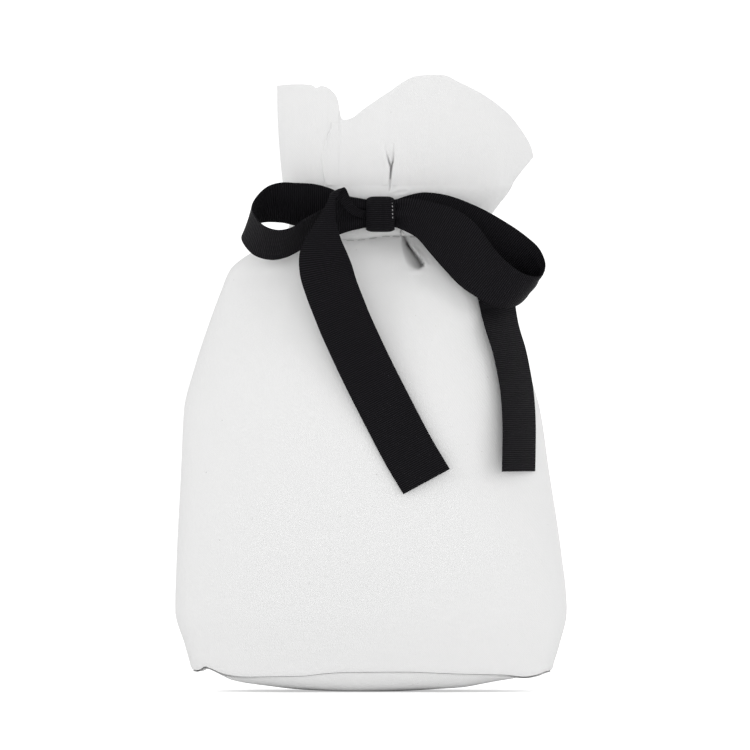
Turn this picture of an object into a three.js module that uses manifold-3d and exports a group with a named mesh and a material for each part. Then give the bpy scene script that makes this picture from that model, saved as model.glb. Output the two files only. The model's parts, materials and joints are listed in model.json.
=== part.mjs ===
// A white cotton drawstring gift bag, gathered at the neck and tied with a black grosgrain bow.
// Millimetres, +Z up, front at -Y. The origin is on the flat underside of the base.
import * as THREE from 'three';
import Module from 'manifold-3d';
import { mergeVertices } from 'three/addons/utils/BufferGeometryUtils.js';

const wasm = await Module();
wasm.setup();

// Cloth and clearances
const WALL = 1.2;
const GAP = 0.3;
const CLOTH_COLOR = '#e9e9e9';
const LINING_COLOR = '#e3e3e2';
const RIBBON_COLOR = '#17161a';

// Body: the fullest outline and the height up to the drawstring channel
const BODY_HEIGHT = 190.5;
const BODY_LEFT = 82.7;
const BODY_RIGHT = 81.9;
const BODY_DEPTH = 37.5;

// Base: its lowest seam height, the rise of the seam at the middle, and the flat rest
const BASE_SEAM_HEIGHT = 6.7;
const BASE_SEAM_WAVE = 2.1;
const BASE_REST_SHARE = 0.3;
const BASE_SEAM_ALLOWANCE = 6;
const SIDE_SEAM_ALLOWANCE = 6;
const SEAM_ALLOWANCE_THICKNESS = 1;
const SEAM_CLEARANCE = 0.5;

// Neck: the outline where the body meets the channel, and the tightest outline on the ribbon
const NECK_LEFT = 36;
const NECK_RIGHT = 45.5;
const NECK_DEPTH = 13;
const WAIST_LEFT = 31.5;
const WAIST_RIGHT = 44;
const WAIST_DEPTH = 12.5;

// Channel: the stitched tunnel for the ribbon, and its slit behind the knot
const CHANNEL_HEIGHT = 21;
const CHANNEL_PUFF = 3.4;
const LINING_WALL = 1;
const SLIT_WIDTH = 9;
const SLIT_MARGIN = 2.2;

// Collar: the outline where it leaves the channel, and the backward lean of its right corner
const COLLAR_LEFT = 37.4;
const COLLAR_RIGHT = 57;
const COLLAR_DEPTH = 14.5;
const COLLAR_CORNER_LEAN = 6;

// Ribbon and knot
const RIBBON_WIDTH = 22;
const RIBBON_THICKNESS = 0.8;
const NECK_RUN_WIDTH = 17.5;
const NECK_RUN_CLEARANCE = 0.6;
const KNOT_CENTRE_X = 3.8;
const KNOT_WIDTH = 12.6;
const KNOT_HEIGHT = 13.9;
const KNOT_DEPTH = 9;
const KNOT_WRAP = 1;
const KNOT_STANDOFF = 1.6;
const LEAD_SPACING = 6;
const TAIL_CLEARANCE = 1.2;

// Steps in the meshes
const AROUND_STEPS = 24;
const BODY_STEPS = 14;
const SIDE_SEAM_ROWS = [1, 11];
const CHANNEL_STEPS = 8;
const COLLAR_AROUND_STEPS = 38;
const COLLAR_STEPS = 7;
const BASE_STEPS = 6;
const ROUTE_STEPS = 3;
const RIBBON_ACROSS_STEPS = 2;

const channelBottom = BODY_HEIGHT + GAP;
const channelTop = channelBottom + CHANNEL_HEIGHT;
const collarBottom = channelTop + GAP;
const knotCentreZ = channelBottom + CHANNEL_HEIGHT * 0.46;
const knotBackY = -(WAIST_DEPTH + CHANNEL_PUFF + KNOT_STANDOFF);
const knotCentreY = knotBackY - KNOT_DEPTH / 2;

// Body outline, bottom to top: height share, then how far the left, right and depth have swelled
// from the neck (0) to the fullest outline (1), and the squareness of the plan section
const BODY_OUTLINE = [
  [0.0, 0.82, 0.79, 0.71, 4.2],
  [0.055, 0.86, 0.84, 0.77, 4.0],
  [0.1, 0.91, 0.91, 0.84, 3.6],
  [0.178, 1.0, 1.0, 0.94, 3.2],
  [0.31, 0.983, 0.931, 1.0, 2.9],
  [0.488, 0.946, 0.791, 0.955, 2.6],
  [0.62, 0.921, 0.69, 0.857, 2.4],
  [0.709, 0.831, 0.56, 0.755, 2.3],
  [0.798, 0.713, 0.459, 0.612, 2.2],
  [0.882, 0.587, 0.316, 0.408, 2.2],
  [0.929, 0.505, 0.22, 0.245, 2.1],
  [0.958, 0.37, 0.15, 0.155, 2.1],
  [0.98, 0.2, 0.08, 0.07, 2.1],
  [1.0, 0.0, 0.0, 0.0, 2.1],
];

// Top edge of the collar, left corner to right corner, measured from the foot of the collar's middle
const FRONT_TOP_EDGE = [
  [-39.9, 0, 42],
  [-32, -7, 42.3],
  [-24.5, -11, 42],
  [-19.5, -10.5, 41],
  [-15.6, -7.5, 37],
  [-13, -4, 29.5],
  [-10.8, -7, 26.4],
  [-4, -14, 32],
  [7.6, -19.5, 39.8],
  [17.2, -21.5, 45.4],
  [27, -21.5, 46.3],
  [45.4, -18, 39.4],
  [58.4, -11, 28.9],
  [66.4, -3, 15.6],
  [67.6, 0, 12.2],
];
const BACK_TOP_EDGE = [
  [-39.9, 0, 42],
  [-34, 8, 41],
  [-26, 14, 38.5],
  [-18, 11, 32.5],
  [-10, 14, 24.5],
  [0, 21, 28.5],
  [10, 17.5, 34],
  [20, 21, 40],
  [32, 18, 39],
  [44, 22, 34],
  [55, 17, 26],
  [63, 10, 17.5],
  [67.6, 0, 12.2],
];

// Ribbon routes, measured from the knot's centre line in X and Z and from the bag's middle in Y:
// centre of the ribbon, tilt of its width in the front view and its lean towards the front in
// degrees, and the share of its full width that it keeps where it is pinched
const LEFT_LOOP = [
  [-6.8, -23.4, -0.2, 0, 0, 0.54],
  [-13, -24.4, -0.6, 0, 8, 0.64],
  [-18.9, -26, -2.3, 0, 28, 0.74],
  [-25.6, -27, -5.7, 7, 42, 0.84],
  [-32.3, -27.5, -8.6, 8, 47, 0.88],
  [-38.4, -27.5, -12, 12, 50, 0.9],
  [-44.9, -27, -13, 13, 50, 0.92],
  [-51.5, -26, -10.7, 17, 50, 0.92],
  [-55.7, -24, -5, 20, 50, 0.92],
  [-54.4, -21.5, -0.6, 17, 48, 0.92],
  [-48.9, -19.7, 3.4, 9, 42, 0.9],
  [-42, -19.2, 4.4, 0, 34, 0.9],
  [-35.5, -19, 3.7, 0, 27, 0.9],
  [-28.1, -19, 3.4, 0, 23, 0.86],
  [-21.6, -19.8, 2.2, 0, 16, 0.78],
  [-14.9, -20.6, 0.2, 0, 4, 0.66],
  [-6.8, -21.3, -0.2, 0, 0, 0.54],
];
const RIGHT_LOOP = [
  [6.8, -24.2, -0.2, 0, 0, 0.54],
  [12, -26, -0.8, 19, 4, 0.64],
  [18.9, -28, -3.4, 28, 8, 0.74],
  [25.8, -29.6, -7.8, 32, 12, 0.92],
  [33, -30.6, -14.5, 35, 14, 1],
  [40.7, -30.8, -22.9, 41, 16, 1],
  [48.5, -30.4, -29.6, 44, 18, 1],
  [56.3, -29.2, -32.8, 44, 20, 1],
  [62.4, -27, -31.6, 40, 20, 1],
  [64.3, -24.6, -27.6, 38, 20, 1],
  [61.8, -22.8, -23.4, 39, 18, 1],
  [56.3, -21.8, -18.3, 40, 14, 1],
  [48.3, -21.4, -12.2, 38, 10, 1],
  [36.3, -21.3, -5.7, 33, 8, 1],
  [24.4, -21.3, -0.4, 31, 4, 0.94],
  [15.8, -21.5, 1.6, 24, 2, 0.8],
  [10.7, -21.8, 1.0, 12, 0, 0.66],
  [6.8, -22.1, -0.2, 0, 0, 0.54],
];
const LEFT_TAIL_ROOT = [
  [-6.8, -25.6, -1, 150, 60, 0.1],
  [-10, -28, 1.4, 140, 50, 0.22],
  [-14, -30.6, 5.4, 130, 40, 0.3],
  [-17.6, -32.4, 8.4, 120, 36, 0.34],
];
const LEFT_TAIL = [
  [-19.6, -35.2, 9.2, 100, 30, 0.3],
  [-20.6, -36.2, 5.6, 94, 24, 0.3],
  [-22.2, -37.2, -1, 92, 20, 0.36],
  [-23.5, -37.8, -6.3, 90, 16, 0.5],
  [-24.2, -38, -11.5, 89, 10, 0.7],
  [-24.2, -38, -17, 87, 4, 0.9],
  [-23, -37.6, -24, 78, 0, 1],
  [-20.6, -37, -32, 70, 0, 1],
  [-17.3, -36.4, -40.5, 67, 0, 1],
  [-13.8, -36.4, -49, 65, 0, 1],
  [-6, -36.4, -65.7, 63, 0, 1],
  [2.5, -36.4, -82.5, 62, 0, 1],
  [11.3, -36.4, -99.3, 61.5, 0, 1],
  [19, -36.4, -112.2, 61.5, 0, 1],
];
const RIGHT_TAIL_ROOT = [
  [6.8, -19.6, -0.5, 0, 0, 0.5],
  [15, -19.1, -2, 24, 0, 0.58],
  [26.5, -18, -9.5, 42, -4, 0.64],
  [37, -17, -18.5, 47, -14, 0.7],
  [45.5, -16.4, -28.5, 54, -26, 0.78],
  [48.4, -16.2, -36.6, 66, -38, 0.86],
];
const RIGHT_TAIL = [
  [48.4, 0, -40.4, 74, -46, 0.96],
  [51, 0, -48.9, 80, -51, 1],
  [53.6, 0, -57.3, 84, -51, 1],
  [55.4, 0, -65.7, 87, -51, 1],
  [56.8, 0, -74.1, 89, -51, 1],
  [57.5, 0, -82.5, 90, -51, 1],
  [57.7, 0, -90.9, 90, -51, 1],
  [57.6, 0, -99.3, 90, -51, 1],
  [57.4, 0, -108, 90, -51, 1],
];

// Smooth steady curve through the rows of a table, by its first column
function tableValue(table, column, at) {
  const last = table.length - 1;
  if (at <= table[0][0]) return table[0][column];
  if (at >= table[last][0]) return table[last][column];
  let i = 0;
  while (at > table[i + 1][0]) i += 1;
  const step = (k) => table[k + 1][0] - table[k][0];
  const rise = (k) => (table[k + 1][column] - table[k][column]) / step(k);
  const slope = (k) => {
    if (k === 0) return rise(0);
    if (k === last) return rise(last - 1);
    const before = rise(k - 1);
    const after = rise(k);
    return before * after <= 0 ? 0 : (2 * before * after) / (before + after);
  };
  const h = step(i);
  const t = (at - table[i][0]) / h;
  const blend = t * t * (3 - 2 * t);
  return (
    table[i][column] * (1 - blend) +
    table[i + 1][column] * blend +
    h * t * (1 - t) * (slope(i) * (1 - t) - slope(i + 1) * t)
  );
}

// The bag's outlines, from the floor to the foot of the collar
function bagOutlines() {
  const swell = (neck, body, share) => neck + (body - neck) * share;
  const rows = BODY_OUTLINE.map(([height, left, right, depth, squareness]) => [
    height * BODY_HEIGHT,
    swell(NECK_LEFT, BODY_LEFT, left),
    swell(NECK_RIGHT, BODY_RIGHT, right),
    swell(NECK_DEPTH, BODY_DEPTH, depth),
    squareness,
  ]);
  rows.push([channelBottom + CHANNEL_HEIGHT * 0.42, WAIST_LEFT, WAIST_RIGHT, WAIST_DEPTH, 2.1]);
  rows.push([collarBottom, COLLAR_LEFT, COLLAR_RIGHT, COLLAR_DEPTH, 2.1]);
  return rows;
}

const OUTLINES = bagOutlines();

function outlineAt(z) {
  const left = tableValue(OUTLINES, 1, z);
  const right = tableValue(OUTLINES, 2, z);
  return {
    centre: (right - left) / 2,
    halfWidth: (right + left) / 2,
    halfDepth: tableValue(OUTLINES, 3, z),
    squareness: tableValue(OUTLINES, 4, z),
  };
}

// Point on the bag's plan outline: angle 0 is the left seam, PI the right one; side -1 is the front
function outlinePoint(side, angle, z, outward) {
  const { centre, halfWidth, halfDepth, squareness } = outlineAt(z);
  const power = 2 / squareness;
  const across = -Math.sign(Math.cos(angle)) * Math.abs(Math.cos(angle)) ** power;
  const along = Math.abs(Math.sin(angle)) ** power;
  const normalX = (Math.sign(across) * Math.abs(across) ** (squareness - 1)) / halfWidth;
  const normalY = along ** (squareness - 1) / halfDepth;
  const length = Math.hypot(normalX, normalY);
  const depth = along * halfDepth + (outward * normalY) / length;
  return new THREE.Vector3(
    centre + across * halfWidth + (outward * normalX) / length,
    side * Math.max(depth, GAP / 2),
    z,
  );
}

function frontDepthAt(x, z) {
  const { centre, halfWidth, halfDepth, squareness } = outlineAt(z);
  const share = Math.min(Math.abs(x - centre) / halfWidth, 1);
  return halfDepth * (1 - share ** squareness) ** (1 / squareness);
}

// Closed solid from points and triangles; it is turned inside out if its volume is negative
function closedGeometry(points, triangles) {
  let volume = 0;
  for (let i = 0; i < triangles.length; i += 3) {
    const [a, b, c] = [points[triangles[i]], points[triangles[i + 1]], points[triangles[i + 2]]];
    volume += a.dot(b.clone().cross(c));
  }
  const faces = triangles.slice();
  if (volume < 0) faces.reverse();
  const geometry = new THREE.BufferGeometry().setFromPoints(points);
  geometry.setIndex(faces);
  geometry.computeVertexNormals();
  return geometry;
}

// Sheet with two faces and a rim: outerAt and innerAt give its faces over u and v from 0 to 1
function sheetSolid(outerAt, innerAt, columns, rows, closedRing = false) {
  const points = [];
  const triangles = [];
  const columnCount = closedRing ? columns : columns + 1;
  const layer = columnCount * (rows + 1);
  for (const faceAt of [outerAt, innerAt]) {
    for (let j = 0; j <= rows; j += 1) {
      for (let i = 0; i < columnCount; i += 1) points.push(faceAt(i / columns, j / rows));
    }
  }
  const quad = (a, b, c, d) => triangles.push(a, b, c, a, c, d);
  const at = (face, i, j) => face * layer + j * columnCount + (i % columnCount);
  for (let i = 0; i < columns; i += 1) {
    for (let j = 0; j < rows; j += 1) {
      quad(at(0, i, j), at(0, i + 1, j), at(0, i + 1, j + 1), at(0, i, j + 1));
      quad(at(1, i, j), at(1, i, j + 1), at(1, i + 1, j + 1), at(1, i + 1, j));
    }
    quad(at(0, i, 0), at(1, i, 0), at(1, i + 1, 0), at(0, i + 1, 0));
    quad(at(0, i, rows), at(0, i + 1, rows), at(1, i + 1, rows), at(1, i, rows));
  }
  for (let j = 0; j < rows && !closedRing; j += 1) {
    quad(at(0, 0, j), at(0, 0, j + 1), at(1, 0, j + 1), at(1, 0, j));
    quad(at(0, columns, j), at(1, columns, j), at(1, columns, j + 1), at(0, columns, j + 1));
  }
  return closedGeometry(points, triangles);
}

function clothMaterial(color) {
  return new THREE.MeshStandardMaterial({ color, roughness: 0.92, metalness: 0 });
}

function ribbonMaterial() {
  return new THREE.MeshStandardMaterial({ color: RIBBON_COLOR, roughness: 0.62, metalness: 0 });
}

function named(name, geometry, material) {
  const mesh = new THREE.Mesh(geometry, material);
  mesh.name = name;
  return mesh;
}

// Body panels: the lower edge waves like the base seam, the top edge is the channel's lower stitches
function seamHeight(angle) {
  return BASE_SEAM_HEIGHT + BASE_SEAM_WAVE * Math.abs(Math.sin(angle)) ** 3;
}

function panelHeight(angle, v) {
  const bottom = seamHeight(angle);
  return bottom + (BODY_HEIGHT - bottom) * (1 - (1 - v) ** 1.4);
}

function panelGeometry(side) {
  const faceAt = (inset) => (u, v) => {
    const angle = Math.PI * u;
    return outlinePoint(side, angle, panelHeight(angle, v), -inset);
  };
  return sheetSolid(faceAt(0), faceAt(WALL), AROUND_STEPS, BODY_STEPS);
}

// Base panel: a shallow bowl inside the lower edge of the panels, flat where it rests on the floor
function basePoint(turn, share, lift) {
  const angle = turn * Math.PI * 2;
  const side = angle <= Math.PI ? -1 : 1;
  const rim = outlinePoint(side, angle, seamHeight(angle), -(WALL + GAP));
  if (Math.abs(Math.sin(angle)) < 1e-6) rim.y = 0;
  const centre = outlineAt(0).centre;
  const rise = Math.max(0, (share - BASE_REST_SHARE) / (1 - BASE_REST_SHARE)) ** 1.7;
  return new THREE.Vector3(
    centre + (rim.x - centre) * share,
    rim.y * share,
    seamHeight(angle) * rise + lift,
  );
}

function basePanelGeometry() {
  const columns = AROUND_STEPS * 2;
  const points = [basePoint(0, 0, 0), basePoint(0, 0, WALL)];
  const triangles = [];
  const ringAt = (face, ring) => 2 + (ring * 2 + face) * columns;
  for (let ring = 0; ring < BASE_STEPS; ring += 1) {
    const share = BASE_REST_SHARE + ((1 - BASE_REST_SHARE) * ring) / (BASE_STEPS - 1);
    for (const lift of [0, WALL]) {
      for (let i = 0; i < columns; i += 1) points.push(basePoint(i / columns, share, lift));
    }
  }
  for (let i = 0; i < columns; i += 1) {
    const next = (i + 1) % columns;
    triangles.push(0, ringAt(0, 0) + next, ringAt(0, 0) + i);
    triangles.push(1, ringAt(1, 0) + i, ringAt(1, 0) + next);
    for (let ring = 0; ring < BASE_STEPS - 1; ring += 1) {
      const [low, high] = [ringAt(0, ring), ringAt(0, ring + 1)];
      triangles.push(low + i, low + next, high + next, low + i, high + next, high + i);
      const [lowTop, highTop] = [ringAt(1, ring), ringAt(1, ring + 1)];
      triangles.push(lowTop + i, highTop + next, lowTop + next);
      triangles.push(lowTop + i, highTop + i, highTop + next);
    }
    const [rim, rimTop] = [ringAt(0, BASE_STEPS - 1), ringAt(1, BASE_STEPS - 1)];
    triangles.push(rim + i, rim + next, rimTop + next, rim + i, rimTop + next, rimTop + i);
  }
  return closedGeometry(points, triangles);
}

// Seam allowances, which stand inside the bag against the panels
function baseSeamGeometry() {
  const inset = WALL + GAP;
  const faceAt = (depth) => (u, v) => {
    const angle = u * Math.PI * 2;
    const side = angle <= Math.PI ? -1 : 1;
    const z = seamHeight(angle) + WALL + GAP + v * BASE_SEAM_ALLOWANCE;
    const point = outlinePoint(side, angle, z, -depth);
    if (Math.abs(Math.sin(angle)) < 1e-6) point.y = 0;
    return point;
  };
  return sheetSolid(faceAt(inset), faceAt(inset + SEAM_ALLOWANCE_THICKNESS), AROUND_STEPS * 2, 1, true);
}

function sideSeamGeometry(end) {
  const angle = end < 0 ? 0 : Math.PI;
  const [firstRow, lastRow] = SIDE_SEAM_ROWS;
  const faceAt = (face) => (u, v) => {
    const height = panelHeight(angle, (firstRow + (lastRow - firstRow) * v) / BODY_STEPS);
    const wall = outlinePoint(-1, angle, height, -(WALL + SEAM_CLEARANCE));
    const x = wall.x - end * SIDE_SEAM_ALLOWANCE * u;
    return new THREE.Vector3(x, (face * SEAM_ALLOWANCE_THICKNESS) / 2, wall.z);
  };
  return sheetSolid(faceAt(-1), faceAt(1), 1, lastRow - firstRow);
}

// Channel: its puffed outer wall, its flat lining, and the ribbon that runs between them
function channelPuff(v) {
  return CHANNEL_PUFF * (4 * v * (1 - v)) ** 0.6;
}

function channelPoint(side, angle, v, outward) {
  return outlinePoint(side, angle, channelBottom + CHANNEL_HEIGHT * v, outward);
}

function channelWallGeometry(side) {
  const faceAt = (inset) => (u, v) => channelPoint(side, Math.PI * u, v, channelPuff(v) - inset);
  return sheetSolid(faceAt(0), faceAt(WALL), AROUND_STEPS, CHANNEL_STEPS);
}

function channelLiningGeometry(side) {
  const faceAt = (inset) => (u, v) => channelPoint(side, Math.PI * u, v, -inset);
  const outerInset = WALL + GAP;
  return sheetSolid(faceAt(outerInset), faceAt(outerInset + LINING_WALL), AROUND_STEPS, CHANNEL_STEPS);
}

function solidOf(geometry) {
  const bare = geometry.clone();
  bare.deleteAttribute('normal');
  const merged = mergeVertices(bare);
  return new wasm.Manifold(new wasm.Mesh({
    numProp: 3,
    vertProperties: new Float32Array(merged.attributes.position.array),
    triVerts: new Uint32Array(merged.index.array),
  }));
}

function geometryOf(solid) {
  const mesh = solid.getMesh();
  const geometry = new THREE.BufferGeometry();
  geometry.setAttribute('position', new THREE.BufferAttribute(mesh.vertProperties, 3));
  geometry.setIndex(new THREE.BufferAttribute(mesh.triVerts, 1));
  geometry.computeVertexNormals();
  return geometry;
}

function frontChannelGeometry() {
  const slitHeight = CHANNEL_HEIGHT - SLIT_MARGIN * 2;
  const reach = WAIST_DEPTH * 2;
  const slit = wasm.Manifold.cube([SLIT_WIDTH, reach, slitHeight], true).translate([
    KNOT_CENTRE_X,
    -(WAIST_DEPTH - WALL) - reach / 2,
    channelBottom + CHANNEL_HEIGHT / 2,
  ]);
  return geometryOf(solidOf(channelWallGeometry(-1)).subtract(slit));
}

// The ribbon in the channel starts at one side of the slit, goes round the back and ends at the other
function neckRunGeometry() {
  const margin = (1 - NECK_RUN_WIDTH / CHANNEL_HEIGHT) / 2;
  const { centre, halfWidth } = outlineAt(channelBottom + CHANNEL_HEIGHT / 2);
  const slitAngle = (x) => Math.acos((centre - x) / (halfWidth + CHANNEL_PUFF));
  const leadRoom = LEAD_SPACING / 2 + RIBBON_THICKNESS / 2 + NECK_RUN_CLEARANCE * 2;
  const start = slitAngle(KNOT_CENTRE_X - leadRoom);
  const end = slitAngle(KNOT_CENTRE_X + leadRoom);
  const sweep = Math.PI * 2 - (end - start);
  const faceAt = (inset) => (u, v) => {
    const turn = start - sweep * u;
    const side = Math.sin(turn) >= 0 ? -1 : 1;
    const share = margin + (1 - 2 * margin) * v;
    return channelPoint(side, turn, share, channelPuff(share) - inset);
  };
  const outerInset = WALL + NECK_RUN_CLEARANCE;
  return sheetSolid(faceAt(outerInset), faceAt(outerInset + RIBBON_THICKNESS), AROUND_STEPS * 2, 4);
}

// Collar: columns rise from the channel's top edge to the waving top edge
function topEdgePoint(edge, u) {
  const place = u * (edge.length - 1);
  const i = Math.min(Math.floor(place), edge.length - 2);
  const t = place - i;
  const row = (k) => edge[Math.min(Math.max(k, 0), edge.length - 1)];
  return [0, 1, 2].map((axis) => curveThrough(row(i - 1), row(i), row(i + 1), row(i + 2), axis, t));
}

function curveThrough(before, from, to, after, axis, t) {
  const [a, b, c, d] = [before[axis], from[axis], to[axis], after[axis]];
  return b + 0.5 * t * (c - a + t * (2 * a - 5 * b + 4 * c - d + t * (3 * (b - c) + d - a)));
}

function collarOuterPoint(side, edge, u, v) {
  const [topX, topY, topZ] = topEdgePoint(edge, u);
  const [first, last] = [edge[0][0], edge[edge.length - 1][0]];
  const share = Math.min(Math.max((topX - first) / (last - first), 0), 1);
  const foot = outlinePoint(side, Math.acos(1 - 2 * share), collarBottom, 0);
  const lean = COLLAR_CORNER_LEAN * share ** 3 * v ** 2;
  const flare = v ** 1.15;
  return new THREE.Vector3(
    foot.x + (topX - foot.x) * flare,
    foot.y + (topY - foot.y) * flare + lean,
    collarBottom + topZ * v,
  );
}

function collarGeometry(side, edge) {
  const seamLean = (u, v) => (u > 0.5 ? COLLAR_CORNER_LEAN * v ** 2 : 0);
  const keepSide = (point, u, v) => {
    const seam = seamLean(u, v);
    if (u === 0 || u === 1) point.y = seam + (side * GAP) / 2;
    return point;
  };
  const outerAt = (u, v) => keepSide(collarOuterPoint(side, edge, u, v), u, v);
  const innerAt = (u, v) => {
    const point = outerAt(u, v);
    if (u === 0) return point.setX(point.x + WALL);
    if (u === 1) return point.setX(point.x - WALL);
    const step = 0.2 / COLLAR_AROUND_STEPS;
    const ahead = collarOuterPoint(side, edge, u + step, v);
    const behind = collarOuterPoint(side, edge, u - step, v);
    const run = Math.hypot(ahead.x - behind.x, ahead.y - behind.y);
    point.x += (side * WALL * (ahead.y - behind.y)) / run;
    point.y -= (side * WALL * (ahead.x - behind.x)) / run;
    return point;
  };
  return sheetSolid(outerAt, innerAt, COLLAR_AROUND_STEPS, COLLAR_STEPS);
}

// Ribbon stretch: a thin strip swept along a route of hand-chosen rows
function ribbonStations(route) {
  const stations = [];
  const row = (k) => route[Math.min(Math.max(k, 0), route.length - 1)];
  for (let i = 0; i < route.length - 1; i += 1) {
    for (let step = 0; step < ROUTE_STEPS; step += 1) {
      const t = step / ROUTE_STEPS;
      stations.push([0, 1, 2, 3, 4, 5].map(
        (axis) => curveThrough(row(i - 1), row(i), row(i + 1), row(i + 2), axis, t),
      ));
    }
  }
  stations.push(route[route.length - 1]);
  return stations.map(([x, y, z, tilt, lean, share]) => {
    const [tiltAngle, leanAngle] = [THREE.MathUtils.degToRad(tilt), THREE.MathUtils.degToRad(lean)];
    return {
      centre: new THREE.Vector3(KNOT_CENTRE_X + x, y, knotCentreZ + z),
      across: new THREE.Vector3(
        Math.sin(tiltAngle) * Math.cos(leanAngle),
        -Math.sin(leanAngle),
        Math.cos(tiltAngle) * Math.cos(leanAngle),
      ).multiplyScalar(share * RIBBON_WIDTH),
    };
  });
}

function stripGeometry(stations) {
  const count = stations.length;
  const normals = stations.map((station, i) => {
    const ahead = stations[Math.min(i + 1, count - 1)].centre;
    const behind = stations[Math.max(i - 1, 0)].centre;
    return ahead.clone().sub(behind).cross(station.across).normalize();
  });
  const faceAt = (offset) => (u, v) => {
    const i = Math.round(v * (count - 1));
    return stations[i].centre
      .clone()
      .addScaledVector(stations[i].across, u - 0.5)
      .addScaledVector(normals[i], offset);
  };
  const half = RIBBON_THICKNESS / 2;
  return sheetSolid(faceAt(half), faceAt(-half), RIBBON_ACROSS_STEPS, count - 1);
}

// Tails hang clear of the body in front of or beside it
function tailStations(route) {
  return ribbonStations(route).map((station) => {
    const { centre, across } = station;
    const depths = [-0.5, -0.25, 0, 0.25, 0.5].map((share) => {
      const point = centre.clone().addScaledVector(across, share);
      return -(frontDepthAt(point.x, point.z) + TAIL_CLEARANCE) - across.y * share;
    });
    return { centre: centre.clone().setY(Math.min(centre.y, ...depths)), across };
  });
}

// Knot: a ribbon wrap round a core of pressed strands
function roundedLoop(depth, height) {
  const outline = new THREE.Shape();
  const steps = 24;
  for (let i = 0; i < steps; i += 1) {
    const angle = (i / steps) * Math.PI * 2;
    const y = (depth / 2) * Math.sign(Math.cos(angle)) * Math.abs(Math.cos(angle)) ** 0.6;
    const z = (height / 2) * Math.sign(Math.sin(angle)) * Math.abs(Math.sin(angle)) ** 0.6;
    if (i === 0) outline.moveTo(y, z);
    else outline.lineTo(y, z);
  }
  return outline;
}

function knotPiece(outline, width) {
  const geometry = new THREE.ExtrudeGeometry(outline, { depth: width, bevelEnabled: false, steps: 1 });
  geometry.translate(0, 0, -width / 2);
  geometry.rotateY(Math.PI / 2);
  geometry.rotateX(Math.PI / 2);
  geometry.translate(KNOT_CENTRE_X, knotCentreY, knotCentreZ);
  return geometry;
}

function knotWrapGeometry() {
  const outline = roundedLoop(KNOT_DEPTH, KNOT_HEIGHT);
  const inside = roundedLoop(KNOT_DEPTH - KNOT_WRAP * 2, KNOT_HEIGHT - KNOT_WRAP * 2);
  outline.holes.push(new THREE.Path(inside.getPoints()));
  return knotPiece(outline, KNOT_WIDTH);
}

function knotCoreGeometry() {
  const inset = (KNOT_WRAP + GAP) * 2;
  return knotPiece(roundedLoop(KNOT_DEPTH - inset, KNOT_HEIGHT - inset), KNOT_WIDTH);
}

// Leads: the two short stretches that pass from the channel through the slit to the knot
function leadGeometry(end) {
  const height = KNOT_HEIGHT - KNOT_WRAP * 2;
  const x = KNOT_CENTRE_X + (end * LEAD_SPACING) / 2;
  const inner = GAP * 2 - WALL + frontDepthAt(x, knotCentreZ + height / 2);
  const length = -knotBackY - GAP - inner;
  const geometry = new THREE.BoxGeometry(RIBBON_THICKNESS, length, height);
  geometry.translate(x, -(inner + length / 2), knotCentreZ);
  return geometry;
}

const bag = new THREE.Group();

const cloth = new THREE.Group();
cloth.add(
  named('front_panel', panelGeometry(-1), clothMaterial(CLOTH_COLOR)),
  named('back_panel', panelGeometry(1), clothMaterial(CLOTH_COLOR)),
  named('base_panel', basePanelGeometry(), clothMaterial(CLOTH_COLOR)),
  named('base_seam', baseSeamGeometry(), clothMaterial(LINING_COLOR)),
  named('left_side_seam', sideSeamGeometry(-1), clothMaterial(LINING_COLOR)),
  named('right_side_seam', sideSeamGeometry(1), clothMaterial(LINING_COLOR)),
  named('front_channel', frontChannelGeometry(), clothMaterial(CLOTH_COLOR)),
  named('back_channel', channelWallGeometry(1), clothMaterial(CLOTH_COLOR)),
  named('front_channel_lining', channelLiningGeometry(-1), clothMaterial(LINING_COLOR)),
  named('back_channel_lining', channelLiningGeometry(1), clothMaterial(LINING_COLOR)),
  named('front_collar', collarGeometry(-1, FRONT_TOP_EDGE), clothMaterial(CLOTH_COLOR)),
  named('back_collar', collarGeometry(1, BACK_TOP_EDGE), clothMaterial(CLOTH_COLOR)),
);
bag.add(cloth);

const ribbon = new THREE.Group();
ribbon.add(
  named('ribbon_neck_run', neckRunGeometry(), ribbonMaterial()),
  named('ribbon_lead_left', leadGeometry(-1), ribbonMaterial()),
  named('ribbon_lead_right', leadGeometry(1), ribbonMaterial()),
  named('bow_knot_wrap', knotWrapGeometry(), ribbonMaterial()),
  named('bow_knot_core', knotCoreGeometry(), ribbonMaterial()),
  named('bow_loop_left', stripGeometry(ribbonStations(LEFT_LOOP)), ribbonMaterial()),
  named('bow_loop_right', stripGeometry(ribbonStations(RIGHT_LOOP)), ribbonMaterial()),
  named('tail_root_left', stripGeometry(ribbonStations(LEFT_TAIL_ROOT)), ribbonMaterial()),
  named('tail_root_right', stripGeometry(ribbonStations(RIGHT_TAIL_ROOT)), ribbonMaterial()),
  named('ribbon_tail_left', stripGeometry(tailStations(LEFT_TAIL)), ribbonMaterial()),
  named('ribbon_tail_right', stripGeometry(tailStations(RIGHT_TAIL)), ribbonMaterial()),
);
bag.add(ribbon);

export default bag;
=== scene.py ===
# A white cotton drawstring gift bag, gathered at the neck and tied with a black grosgrain bow.
# Shapes are worked out in millimetres in the CAD frame (front at -Y, up +Z) and made in metres.
import json
import math

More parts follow.
